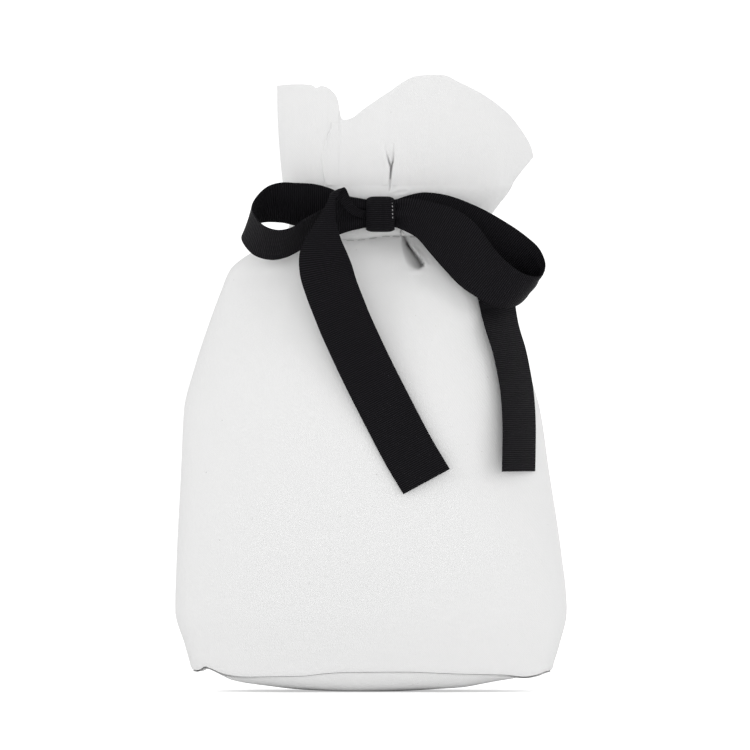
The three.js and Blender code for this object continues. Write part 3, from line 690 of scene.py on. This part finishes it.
# ---- channel linings: the turned-in cloth behind the ribbon
def lining(side):
    q = np.linspace(0, 1, 161)[None, :]
    z = np.linspace(CHANNEL_BOTTOM + 0.1, COLLAR_FOOT + 0.6, 36)[:, None]
    qq, zz = np.broadcast_arrays(q, z)
    shut = ramp(zz, 208, 211.5)
    behind_cloth = foot_out(side, qq) - TUCK - CLOTH - 0.05
    out = (0.7 * neck_gathers(side, qq) - 1.5) * (1 - shut) + behind_cloth * shut
    x, depth = on_bag(qq, zz, out)
    points = np.stack([x, side * np.maximum(depth, 0.15), zz], 2)
    coords = np.stack([qq * front_width, zz], 2)
    made = sheet_of("channel_lining_" + SIDE_NAME[side], points, 0.5, coords, -side)
    return dress(made, COTTON_INSIDE)


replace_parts(lining(-1), "front_channel_lining")
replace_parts(lining(1), "back_channel_lining")


# ---- collar: control columns from the foot to the top edge
# share q of the foot, top x, top y, top height over the foot, bulge in x, bulge in y
FRONT_COLLAR = [
    [0.000, -39.9, 0.0, 42.2, -0.8, 0],
    [0.040, -36.0, -3.8, 42.5, -0.4, -0.4],
    [0.085, -32.0, -6.6, 42.6, 0, -0.6],
    [0.125, -28.0, -8.6, 42.5, 0, -0.6],
    [0.158, -24.8, -9.8, 42.0, 0, -0.5],
    [0.172, -23.4, -10.2, 41.0, 0, -0.4],
    [0.190, -21.6, -10.6, 41.8, 0, -0.4],
    [0.206, -20.0, -11.0, 41.6, 0, -0.4],
    [0.222, -18.4, -11.3, 41.0, 0, -0.4],
    [0.238, -16.8, -11.6, 39.8, 0, -0.3],
    [0.252, -15.2, -11.9, 37.9, 0, -0.3],
    [0.262, -14.2, -12.2, 35.6, 0, -0.3],
    [0.268, -13.7, -12.4, 32.6, 0, -0.3],
    [0.273, -13.1, -12.6, 29.2, 0, -0.4],
    [0.279, -12.5, -12.9, 27.9, 0, -0.4],
    [0.290, -11.4, -13.3, 27.6, 0, -0.5],
    [0.304, -9.9, -13.8, 27.8, 0, -0.6],
    [0.328, -7.2, -14.8, 29.0, 0, -0.8],
    [0.358, -3.9, -16.2, 31.7, 0, -1.0],
    [0.415, 2.0, -18.1, 35.8, 0, -1.1],
    [0.470, 7.6, -19.6, 39.5, 0, -1.0],
    [0.520, 12.6, -20.7, 43.0, 0, -0.9],
    [0.565, 17.4, -21.5, 45.4, 0, -0.8],
    [0.625, 25.0, -21.5, 46.3, 0, -0.8],
    [0.680, 31.0, -21.2, 45.9, 0, -0.8],
    [0.735, 36.4, -20.2, 43.3, 0, -0.9],
    [0.815, 44.6, -18.0, 39.3, 0, -1.0],
    [0.880, 52.3, -14.8, 34.3, 0, -1.0],
    [0.930, 58.4, -11.0, 29.0, 0, -0.8],
    [0.965, 63.5, -6.6, 22.4, 0, -0.4],
    [0.985, 66.7, -3.0, 17.0, 0, -0.1],
    [1.000, 68.0, 0.0, 12.2, 0, 0],
]
BACK_COLLAR = [
    [0.000, -39.9, 0.0, 42.0, -0.8, 0],
    [0.080, -37.0, 5.0, 41.6, 0, 0.6],
    [0.160, -33.0, 9.6, 40.6, 0, 1.2],
    [0.230, -28.0, 13.4, 39.2, 0, 1.6],
    [0.290, -22.5, 13.8, 36.4, 0, 0.4],
    [0.330, -18.0, 11.0, 32.5, 0.6, -1.8],
    [0.360, -13.4, 11.4, 27.4, 0.4, -2.2],
    [0.400, -9.0, 15.0, 24.8, 0, 0.4],
    [0.450, -3.5, 20.0, 25.8, 0, 2.0],
    [0.490, 2.5, 21.2, 29.6, 0, 1.6],
    [0.525, 8.0, 18.4, 33.0, 0, -0.8],
    [0.560, 12.5, 17.4, 35.6, 0, -1.8],
    [0.600, 17.5, 19.8, 38.8, 0, 0.0],
    [0.650, 23.5, 21.8, 40.2, 0, 1.6],
    [0.705, 30.0, 19.0, 39.4, 0, -0.6],
    [0.745, 35.5, 18.2, 37.8, 0, -1.6],
    [0.790, 41.0, 21.4, 35.6, 0, 0.6],
    [0.840, 47.0, 21.8, 32.4, 0, 1.6],
    [0.890, 53.5, 18.0, 27.2, 0, 0.8],
    [0.940, 60.0, 12.6, 20.6, 0, 0.4],
    [0.975, 65.4, 6.6, 15.6, 0, 0],
    [1.000, 67.8, 0.0, 12.0, 0, 0],
]

# The fold beside the flap: height above the foot, x, strength
FLAP_FOLD = [
    [0, -19.3, 0.9], [1.1, -19.5, 0.9], [5.9, -20.6, 0.8], [11.7, -21.0, 0.55], [14.6, -20.5, 0.25],
    [17.6, -19.7, 0.6], [21.5, -18.3, 1.0], [24.5, -17.2, 1.0], [26.0, -16.8, 0.9], [26.5, -16.7, 0.0],
]


def flap_step(x, height):
    """The pressed step beside the flap, in mm towards the front."""
    past = x - smooth(FLAP_FOLD, 1, height)
    over = ramp(past, -0.1, 0.12)
    above = 0.55 * over * np.exp(-np.maximum(past, 0) / 5)
    below = 0.3 * (1 - over) * np.exp(np.minimum(past, 0) / 1.2)
    return (above - below) * smooth(FLAP_FOLD, 2, height)


def crease_in(x, z):
    """The crease's depth, with a slight swell on each side of it."""
    middle, apart, deep = (smooth(CREASE, c, z) for c in (1, 2, 3))
    left, right = middle - apart, middle + apart
    prongs = np.maximum(bell(x, left, 0.4), bell(x, right, 0.4))
    inside = ramp(x, left - 0.3, left + 0.3) * (1 - ramp(x, right - 0.3, right + 0.3))
    swollen = bell(x, left - 1.6, 1.1) + bell(x, right + 1.6, 1.1)
    return deep * np.maximum(prongs, 0.55 * inside) - 0.25 * np.minimum(deep, 1) * swollen


def collar(side):
    net = np.asarray(FRONT_COLLAR if side < 0 else BACK_COLLAR, float)
    last = len(net) - 1
    place = np.linspace(0, last, last * 8 + 1)
    if side < 0:
        # columns stand closer together at the flap's fold and at the crease
        place = np.unique(np.concatenate([place, np.linspace(5, 10, 70), np.linspace(19.2, 20.9, 110)]))
    u = spline(net, place)
    v = np.linspace(0, 1, 72)[:, None]
    foot_q, top_x, top_y, top_z, bulge_x, bulge_y = (u[None, :, c] for c in range(6))
    foot_q = np.clip(foot_q, 0, 1)
    foot_x, foot_depth = on_bag(foot_q, COLLAR_FOOT, foot_out(side, foot_q))
    share = np.clip((top_x - net[0, 1]) / (net[-1, 1] - net[0, 1]), 0, 1)
    flare = v ** 1.15
    between = 4 * v * (1 - v)
    x = foot_x + (top_x - foot_x) * flare + bulge_x * between
    y = side * foot_depth + (top_y - side * foot_depth) * flare + bulge_y * between
    y = y + COLLAR_CORNER_LEAN * share ** 3 * v ** 2
    z = COLLAR_FOOT + top_z * v
    x, y, z = np.broadcast_arrays(x, y, z)
    y = y + side * neck_gathers(side, foot_q) * ((1 - v) ** 3 - (1 - flare))
    if side < 0:
        y = y - flap_step(x, z - COLLAR_FOOT) + crease_in(x, z)
    wave = 0.3 * np.sin(x / 9.0 + 1.3) * np.sin((z - COLLAR_FOOT) / 8.0)
    y = y + side * wave * v * from_seams(foot_q, 0.08)
    points = np.stack([x, y, z], 2)
    run = run_along(points[len(v) // 2])
    coords = np.stack([np.broadcast_to(run, z.shape), z], 2)
    made = sheet_of("collar_" + SIDE_NAME[side] + "_cloth", points, CLOTH, coords, -side)
    dress(made, COTTON)
    return made, float(run[-1])


front_collar, front_collar_run = collar(-1)
back_collar, back_collar_run = collar(1)
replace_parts(front_collar, "front_collar")
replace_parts(back_collar, "back_collar")


# ---- stitches along the channel's lower and upper edge
STITCH_OFF = 0.6  # how far outside the channel's edge the thread lies
STITCH_LENGTH, STITCH_PITCH, THREAD_RADIUS = 3.5, 5.0, 0.24


def stitch_row(side, level, off, name):
    """A row of separate stitches, each a short rod of thread with pinched ends, half sunk in the cloth."""
    sections, ring = 9, 8
    q = np.linspace(0, 1, 1201)
    z = level(q) + off
    x, depth = on_bag(q, z, cloth_out(side, q, z) + 0.14)
    if side < 0:
        depth = depth + pleat_out(x, z)
    z = z + 0.2 * np.sin(x / 3.1)
    line = np.stack([x, side * depth, z], 1)
    run = run_along(line)
    verts, faces, coords = [], [], []
    for k in range(int((run[-1] - 4) / STITCH_PITCH)):
        start = 2.5 + k * STITCH_PITCH + 0.3 * math.sin(k * 2.3)
        at = start + STITCH_LENGTH * np.linspace(0, 1, sections)
        p = np.stack([np.interp(at, run, line[:, c]) for c in range(3)], 1)
        t = np.gradient(p, axis=0)
        t /= np.linalg.norm(t, axis=1, keepdims=True)
        a = np.cross(t, [0, 0, 1.0])
        a /= np.linalg.norm(a, axis=1, keepdims=True)
        b = np.cross(a, t)
        r = THREAD_RADIUS * np.sqrt(np.clip(1 - np.linspace(-1, 1, sections) ** 6, 0.02, 1))
        r[[0, -1]] = 0.03
        faces += tube_faces(len(verts), sections, ring)
        for j in range(sections):
            for i in range(ring):
                w = TAU * i / ring
                verts.append(p[j] + r[j] * (a[j] * math.cos(w) + b[j] * math.sin(w)))
                coords.append((at[j], i * 0.2, 0))
    made = obj_from(name + "_" + SIDE_NAME[side], verts, faces, coords)
    return dress(made, THREAD)


for which in (-1, 1):
    stitch_row(which, lower_stitches, -STITCH_OFF, "channel_stitches_lower")
    stitch_row(which, upper_stitches, STITCH_OFF, "channel_stitches_upper")


# ---- ribbon routes: x from the knot, y, z from the knot, the width's tilt and lean in degrees, and the share
# of the ribbon's width that is left where it is squeezed
LEFT_LOOP = [
    [-5.2, -23.2, -0.2, 0, 0, 0.5],
    [-6.8, -23.4, -0.2, 0, 0, 0.54], [-13, -24.4, -0.6, 0, 8, 0.64], [-18.9, -26, -2.3, 0, 28, 0.74],
    [-25.6, -27, -5.7, 7, 42, 0.84], [-32.3, -27.5, -8.8, 8, 48, 0.88], [-38.4, -27.5, -12.3, 12, 51, 0.9],
    [-44.9, -27, -13.4, 13, 51, 0.9], [-51.7, -26, -11.0, 17, 50, 0.91], [-56.0, -24, -5, 20, 50, 0.92],
    [-54.4, -21.5, -0.6, 17, 48, 0.92], [-48.9, -19.7, 3.4, 9, 42, 0.9], [-42, -19.2, 4.4, 0, 34, 0.9],
    [-35.5, -19, 3.7, 0, 27, 0.9], [-28.1, -19, 3.4, 0, 23, 0.86], [-21.6, -19.8, 2.2, 0, 16, 0.78],
    [-14.9, -20.6, 0.2, 0, 4, 0.66], [-6.8, -21.3, -0.2, 0, 0, 0.54], [-5.2, -21.4, -0.2, 0, 0, 0.5],
]
RIGHT_LOOP = [
    [5.2, -23.8, -0.2, 0, 0, 0.5],
    [6.8, -24.2, -0.2, 0, 0, 0.54], [12, -26, -0.8, 19, 4, 0.64], [18.9, -28, -3.2, 28, 8, 0.76],
    [25.8, -29.6, -7.7, 32, 12, 0.97], [33, -30.6, -14.3, 34, 14, 1.07], [40.7, -30.8, -23.3, 41, 18, 0.99],
    [48.7, -30.4, -29.5, 36, 24, 0.92], [54.6, -29.4, -32.4, 33, 30, 0.88], [59.8, -27.6, -32.8, 32, 38, 0.83],
    [63.4, -25.2, -31.2, 35, 44, 0.76], [65.0, -23.4, -27.8, 37, 44, 0.7], [64.3, -22.4, -24.4, 40, 38, 0.7],
    [61.5, -21.9, -20.7, 41, 30, 0.75], [56.8, -21.6, -18.0, 42, 18, 0.84], [48.0, -21.4, -14.0, 38, 10, 1],
    [36.3, -21.3, -7.4, 33, 8, 1], [24.4, -21.3, -2.0, 31, 4, 0.94], [15.8, -21.5, 0.6, 24, 2, 0.8],
    [10.7, -21.8, 0.5, 12, 0, 0.66], [6.8, -22.1, -0.2, 0, 0, 0.54], [5.2, -22.1, -0.2, 0, 0, 0.5],
]
LEFT_TAIL = [
    [-5.4, -24.4, -0.8, 20, 0, 0.14], [-7.4, -25.2, -0.6, 35, 0, 0.15], [-10.6, -27.2, 0.5, 50, 5, 0.16],
    [-13.2, -29.4, 2.6, 55, 10, 0.17], [-15.0, -31.2, 5.4, 52, 15, 0.21], [-16.8, -33.0, 8.0, 48, 22, 0.28],
    [-18.4, -34.8, 9.0, 68, 30, 0.25], [-20.2, -36.2, 6.2, 92, 24, 0.14], [-21.2, -36.8, 2.6, 92, 22, 0.2],
    [-22.2, -37.2, -1, 92, 20, 0.29], [-23.5, -37.8, -6.3, 90, 16, 0.5], [-24.2, -38, -11.5, 89, 10, 0.7],
    [-24.2, -38, -17, 87, 4, 0.9], [-23, -37.6, -24, 78, 0, 1], [-20.6, -37, -32, 70, 0, 1],
    [-17.3, -36.4, -40.5, 67, 0, 1], [-13.8, -36.4, -49, 65, 0, 1], [-6, -36.4, -65.7, 63, 0, 1],
    [2.5, -36.4, -82.5, 62, 0, 1], [11.3, -36.4, -99.3, 61.5, 0, 1], [19, -36.4, -112.2, 61.5, 0, 1],
]
RIGHT_TAIL = [
    [5.2, -19.8, -0.5, 0, 0, 0.5],
    [6.8, -19.6, -0.5, 0, 0, 0.5], [15, -19.1, -2, 24, 0, 0.58], [26.5, -18, -9.5, 42, -4, 0.64],
    [37, -17, -18.5, 47, -14, 0.7], [45.5, -16.4, -28.5, 54, -26, 0.78], [48.4, -16.2, -36.6, 66, -38, 0.88],
    [49.4, 0, -42.0, 76, -47, 0.97], [51, 0, -48.9, 80, -51, 1], [53.6, 0, -57.3, 84, -51, 1],
    [55.4, 0, -65.7, 87, -51, 1], [56.8, 0, -74.1, 89, -51, 1], [57.5, 0, -82.5, 90, -51, 1],
    [57.7, 0, -90.9, 90, -51, 1], [57.6, 0, -99.3, 90, -51, 1], [57.4, 0, -108, 90, -51, 1],
]

ROUTE_STEPS, RIBBON_COLUMNS = 12, 18  # steps between two rows of a route, and columns across the ribbon
RIBBON_CUP = 0.35  # how far the ribbon's middle stands out from its edges
SMOOTHING = 16  # passes that even out how far a tail lies from the bag


def ribbon(name, route, lies_from=None, pleated_to=99):
    """A thin strip along a route, pleated where it is squeezed, up to row pleated_to of the route.

    From row lies_from on it lies clear of the bag.
    """
    last = len(route) - 1
    rows = spline(route, np.linspace(0, last, last * ROUTE_STEPS + 1))
    tilt, lean = np.radians(rows[:, 3]), np.radians(rows[:, 4])
    across = np.stack([np.sin(tilt) * np.cos(lean), -np.sin(lean), np.cos(tilt) * np.cos(lean)], 1)
    across *= rows[:, 5:6] * RIBBON_WIDTH
    centre = rows[:, :3] + [KNOT_X, 0, KNOT_Z]
    if lies_from is not None:
        shares = np.linspace(-0.5, 0.5, 9)
        edge = centre[:, None, :] + across[:, None, :] * shares[None, :, None]
        clear = -(front_depth(edge[..., 0], edge[..., 2]) + TAIL_CLEARANCE) - across[:, None, 1] * shares
        lie = np.minimum(centre[:, 1], clear.min(1))
        first = lies_from * ROUTE_STEPS
        centre[first:, 1] = lie[first:]
        for _ in range(SMOOTHING):
            even = centre[:, 1].copy()
            even[1:-1] = (centre[:-2, 1] + 2 * centre[1:-1, 1] + centre[2:, 1]) / 4
            centre[:, 1] = even
    along = run_along(centre)
    normal = np.cross(np.gradient(centre, axis=0), across)
    normal /= np.linalg.norm(normal, axis=1, keepdims=True)
    s = np.linspace(-0.5, 0.5, RIBBON_COLUMNS + 1)
    row = np.linspace(0, last, len(rows))[:, None]
    squeeze = np.clip(0.8 - rows[:, 5:6], 0, 0.4) * (1 - ramp(row, pleated_to, pleated_to + 1.5))
    pleats = squeeze * 3.2 * np.cos(TAU * 2 * s)[None, :] * (1 - np.abs(2 * s)[None, :] ** 4)
    curve = RIBBON_CUP * (1 - (2 * s) ** 2)[None, :] + pleats
    points = centre[:, None, :] + across[:, None, :] * s[None, :, None] + normal[:, None, :] * curve[..., None]
    coords = np.stack(np.broadcast_arrays(s[None, :] * RIBBON_WIDTH, along[:, None]), 2)
    n = grid_normals(points)
    made = shell(name, points + n * RIBBON / 2, points - n * RIBBON / 2, coords)
    dress(made, GROSGRAIN)
    return made, float(along[-1])


loop_left, loop_left_run = ribbon("bow_loop_left_ribbon", LEFT_LOOP)
loop_right, loop_right_run = ribbon("bow_loop_right_ribbon", RIGHT_LOOP)
tail_left, tail_left_run = ribbon("tail_left_ribbon", LEFT_TAIL, 13, -2)
tail_right, tail_right_run = ribbon("tail_right_ribbon", RIGHT_TAIL, 4)
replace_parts(loop_left, "bow_loop_left")
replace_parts(loop_right, "bow_loop_right")
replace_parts(tail_left, "tail_root_left", "ribbon_tail_left")
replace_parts(tail_right, "tail_root_right", "ribbon_tail_right")


# ---- knot: a wrap with a soft front, and the pressed strands inside it
def knot_ring(depth, height, count, roundness):
    """y and z of the knot's section, from a square at 0 to an ellipse at 1."""
    w = np.arange(count) / count * TAU
    y = depth / 2 * np.sign(np.cos(w)) * np.abs(np.cos(w)) ** roundness
    z = height / 2 * np.sign(np.sin(w)) * np.abs(np.sin(w)) ** roundness
    return y, z


def knot_wrap():
    """The wrap is a little narrower and taller than its solid, as the photograph shows it."""
    count, columns = 96, 30
    painted_glints_at = 0.867  # place of the column of painted glints on the edge loops, from -1 at the left edge to 1
    y, z = knot_ring(KNOT_DEPTH, KNOT_HEIGHT + 1, count, 0.74)
    s = np.linspace(-1, 1, columns + 1)[:, None]
    pull = 1 - 0.13 * np.abs(s) ** 5
    crease = 0.22 * bell(s, 0.6, 0.05) + 0.12 * bell(s, -0.45, 0.05) + 0.3 * bell(s, 0.16, 0.05)
    front = ramp(-y, -1, 3)[None, :]
    x = KNOT_X - 0.3 + s * (KNOT_WIDTH / 2 - 0.4) * (1 - 0.03 * z / 7)[None, :]
    yy = KNOT_Y + y[None, :] * pull + crease * front
    zz = KNOT_Z - 0.5 + z[None, :] * pull
    points = np.stack(np.broadcast_arrays(x, yy, zz), 2)
    length = run_along(np.stack([y, z], 1))
    # painted glints go only on the knot's front, across its middle, in one column
    shown = ((y < 0) & (z > -2) & (z < 5))[None, :]
    painted_glint_mask = shown * (np.abs(s - painted_glints_at) < 0.01)
    along = (length - length[-1] / 2)[None, :]
    coords = np.stack(np.broadcast_arrays(s * RIBBON_WIDTH / 2, along, painted_glint_mask), 2)
    n = grid_normals(points, ring=True)
    centre = np.array([KNOT_X, KNOT_Y, KNOT_Z])
    if ((points - centre) * n).sum() < 0:
        n = -n
    made = shell("knot_wrap_ribbon", points, points - n * 0.6, coords, ring=True)
    return dress(made, GROSGRAIN)


def knot_core():
    count, columns = 72, 24
    y, z = knot_ring(KNOT_DEPTH - 2.6, KNOT_HEIGHT - 2.6, count, 0.62)
    s = np.linspace(-1, 1, columns + 1)
    end = np.where(np.abs(s) > 0.9, 1 - ((np.abs(s) - 0.9) / 0.1) ** 2 * 0.55, 1)[:, None]
    fold = 1 + 0.045 * np.cos(np.arange(count) / count * TAU * 9)[None, :]
    x = KNOT_X + s[:, None] * (KNOT_WIDTH / 2 - 0.1)
    yy = KNOT_Y + y[None, :] * end * fold
    zz = KNOT_Z + z[None, :] * end * fold
    points = np.stack(np.broadcast_arrays(x, yy, zz), 2)
    verts = points.reshape(-1, 3)
    coords = np.zeros((len(verts), 3))
    coords[:, 0] = np.tile(np.arange(count) / count * 20 - 10, columns + 1)
    coords[:, 1] = verts[:, 0]
    made = obj_from("knot_core_ribbon", verts, tube_faces(0, columns + 1, count), coords)
    return dress(made, GROSGRAIN)


wrap, core = knot_wrap(), knot_core()
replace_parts(wrap, "bow_knot_wrap")
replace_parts(core, "bow_knot_core")


# ---- leads through the slit, and the run round the neck inside the channel
def lead(end):
    apart, height, inside, at_knot = 3, 11.6, -12.7, -18.2
    y = np.linspace(inside, at_knot, 24)[:, None]
    s = np.linspace(-0.5, 0.5, 15)[None, :]
    x = KNOT_X + end * apart + 0.45 * np.cos(TAU * 2.5 * s) * ramp(-y, 12, 17) + 0 * y
    z = KNOT_Z + s * height + 0 * y
    points = np.stack(np.broadcast_arrays(x, y, z), 2)
    coords = np.stack(np.broadcast_arrays(s * RIBBON_WIDTH, y + 0 * s), 2)
    made = sheet_of("lead_ribbon_" + END_NAME[end], points, RIBBON, coords)
    return dress(made, GROSGRAIN)


leads = [lead(-1), lead(1)]
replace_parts(leads[0], "ribbon_lead_left")
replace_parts(leads[1], "ribbon_lead_right")


def neck_run():
    """From the slit to the left, round the back, and to the slit again from the right."""
    margin = (1 - RIBBON_IN_CHANNEL / CHANNEL_HEIGHT) / 2
    start, end = 0.44, 0.56  # the slit's ends, as shares q of the front
    columns, weave_span = 361, 26
    turn = np.linspace(start, start - (2 - (end - start)), columns)[None, :]
    q = np.abs(turn)
    side = np.where(turn >= 0, -1.0, 1.0)
    over = q > 1
    q = np.where(over, 2 - q, q)
    side = np.where(over, -1.0, side)
    v = np.linspace(margin, 1 - margin, 12)[:, None]
    z = (lower_stitches(q) + 1.2) * (1 - v) + (upper_stitches(q) - 1.0) * v
    q, side = np.broadcast_arrays(q, side, z)[:2]
    fold = 0.15 * ripple(q, 9, 0.8)
    layers = []
    for behind in (0.95, 0.95 + RIBBON):
        x, depth = on_bag(q, z, channel_puff(q, z) * 0.62 - behind + fold)
        layers.append(np.stack([x, side * depth, z], 2))
    along = np.linspace(0, NECK_RUN_LENGTH, columns)[None, :] + 0 * z
    coords = np.stack([(v - 0.5) * weave_span + 0 * turn, along], 2)
    made = shell("neck_run_ribbon", *layers, coords)
    return dress(made, GROSGRAIN)


run = neck_run()
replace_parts(run, "ribbon_neck_run")

# ---- bodies
for piece in list(bpy.context.scene.collection.objects):
    if piece.name.startswith(("front_cloth", "back_cloth", "base_", "side_seam", "channel_", "neck_run")):
        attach(piece, "bag")
for piece in (wrap, core):
    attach(piece, "bow")
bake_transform(front_collar)
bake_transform(back_collar)
for piece in leads:
    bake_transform(piece)
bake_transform(loop_left)
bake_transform(loop_right)
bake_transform(tail_left)
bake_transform(tail_right)


# ---- floor, backdrop, lights and camera
WHITE = (1, 1, 1, 1)
AIM = (0, 0, 0.13)  # the lights point at the bag's middle


def backdrop():
    floor_front, floor_back, radius, height, half_width = -7.0, 5.2, 1.2, 6.0, 7.0
    bend = [
        (floor_back + radius * math.sin(t), radius * (1 - math.cos(t)))
        for t in np.linspace(0, math.pi / 2, 25)
    ]
    line = [(floor_front, 0.0), *bend, (floor_back + radius, height)]
    verts = [(x, y, z) for y, z in line for x in (-half_width, half_width)]
    faces = [(2 * k, 2 * k + 1, 2 * k + 3, 2 * k + 2) for k in range(len(line) - 1)]
    mesh = bpy.data.meshes.new("backdrop")
    mesh.from_pydata(verts, [], faces)
    mesh.polygons.foreach_set("use_smooth", [True] * len(mesh.polygons))
    made = bpy.data.objects.new("backdrop", mesh)
    bpy.context.scene.collection.objects.link(made)
    m, tree, shader = nodes_of("backdrop_paper")
    shader.inputs["Base Color"].default_value = (0.94, 0.94, 0.94, 1)
    shader.inputs["Roughness"].default_value = 1.0
    shader.inputs["Specular IOR Level"].default_value = 0.0
    path = tree.nodes.new("ShaderNodeLightPath")
    seen = value(tree, "MAXIMUM", path.outputs["Is Camera Ray"], path.outputs["Is Glossy Ray"])
    seen = value(tree, "MAXIMUM", seen, path.outputs["Is Transmission Ray"])
    shader.inputs["Emission Color"].default_value = WHITE
    tree.links.new(value(tree, "MULTIPLY", seen, 0.5), shader.inputs["Emission Strength"])
    mesh.materials.append(m)
    return made


backdrop()

world = bpy.data.worlds.new("studio")
bpy.context.scene.world = world
world.use_nodes = True
world.node_tree.nodes["Background"].inputs["Color"].default_value = WHITE
world.node_tree.nodes["Background"].inputs["Strength"].default_value = 0.72


def area_light(name, place, width, height, power):
    data = bpy.data.lights.new(name, "AREA")
    data.shape, data.size, data.size_y, data.energy = "RECTANGLE", width, height, power
    made = bpy.data.objects.new(name, data)
    made.location = place
    made.rotation_euler = (Vector(AIM) - Vector(place)).to_track_quat("-Z", "Y").to_euler()
    made.visible_camera = False
    bpy.context.scene.collection.objects.link(made)


area_light("key", (-2.0, -1.0, 1.2), 1.1, 1.1, 12)
area_light("fill", (2.0, -1.0, 0.9), 1.4, 1.4, 9)
area_light("low_fill", (0.1, -1.5, 0.14), 1.6, 0.24, 3.8)
area_light("back_fill", (0.7, 1.8, 1.1), 1.4, 1.4, 10)

# The photograph is FRAME pixels wide and high; x = 0 lies at column MIDDLE and the floor at row FLOOR
PIXEL = 0.42 * MM
FRAME, MIDDLE, FLOOR = 750, 372, 691
camera_data = bpy.data.cameras.new("camera")
camera = bpy.data.objects.new("camera", camera_data)
bpy.context.scene.collection.objects.link(camera)
DISTANCE = 5.0
camera.location = ((FRAME / 2 - MIDDLE) * PIXEL, -DISTANCE, (FLOOR - FRAME / 2) * PIXEL)
camera.rotation_euler = (math.pi / 2, 0, 0)
camera_data.sensor_width = 36
camera_data.lens = camera_data.sensor_width * DISTANCE / (FRAME * PIXEL)
camera_data.clip_end = 20
bpy.context.scene.camera = camera
bpy.context.scene.view_settings.view_transform = "Standard"
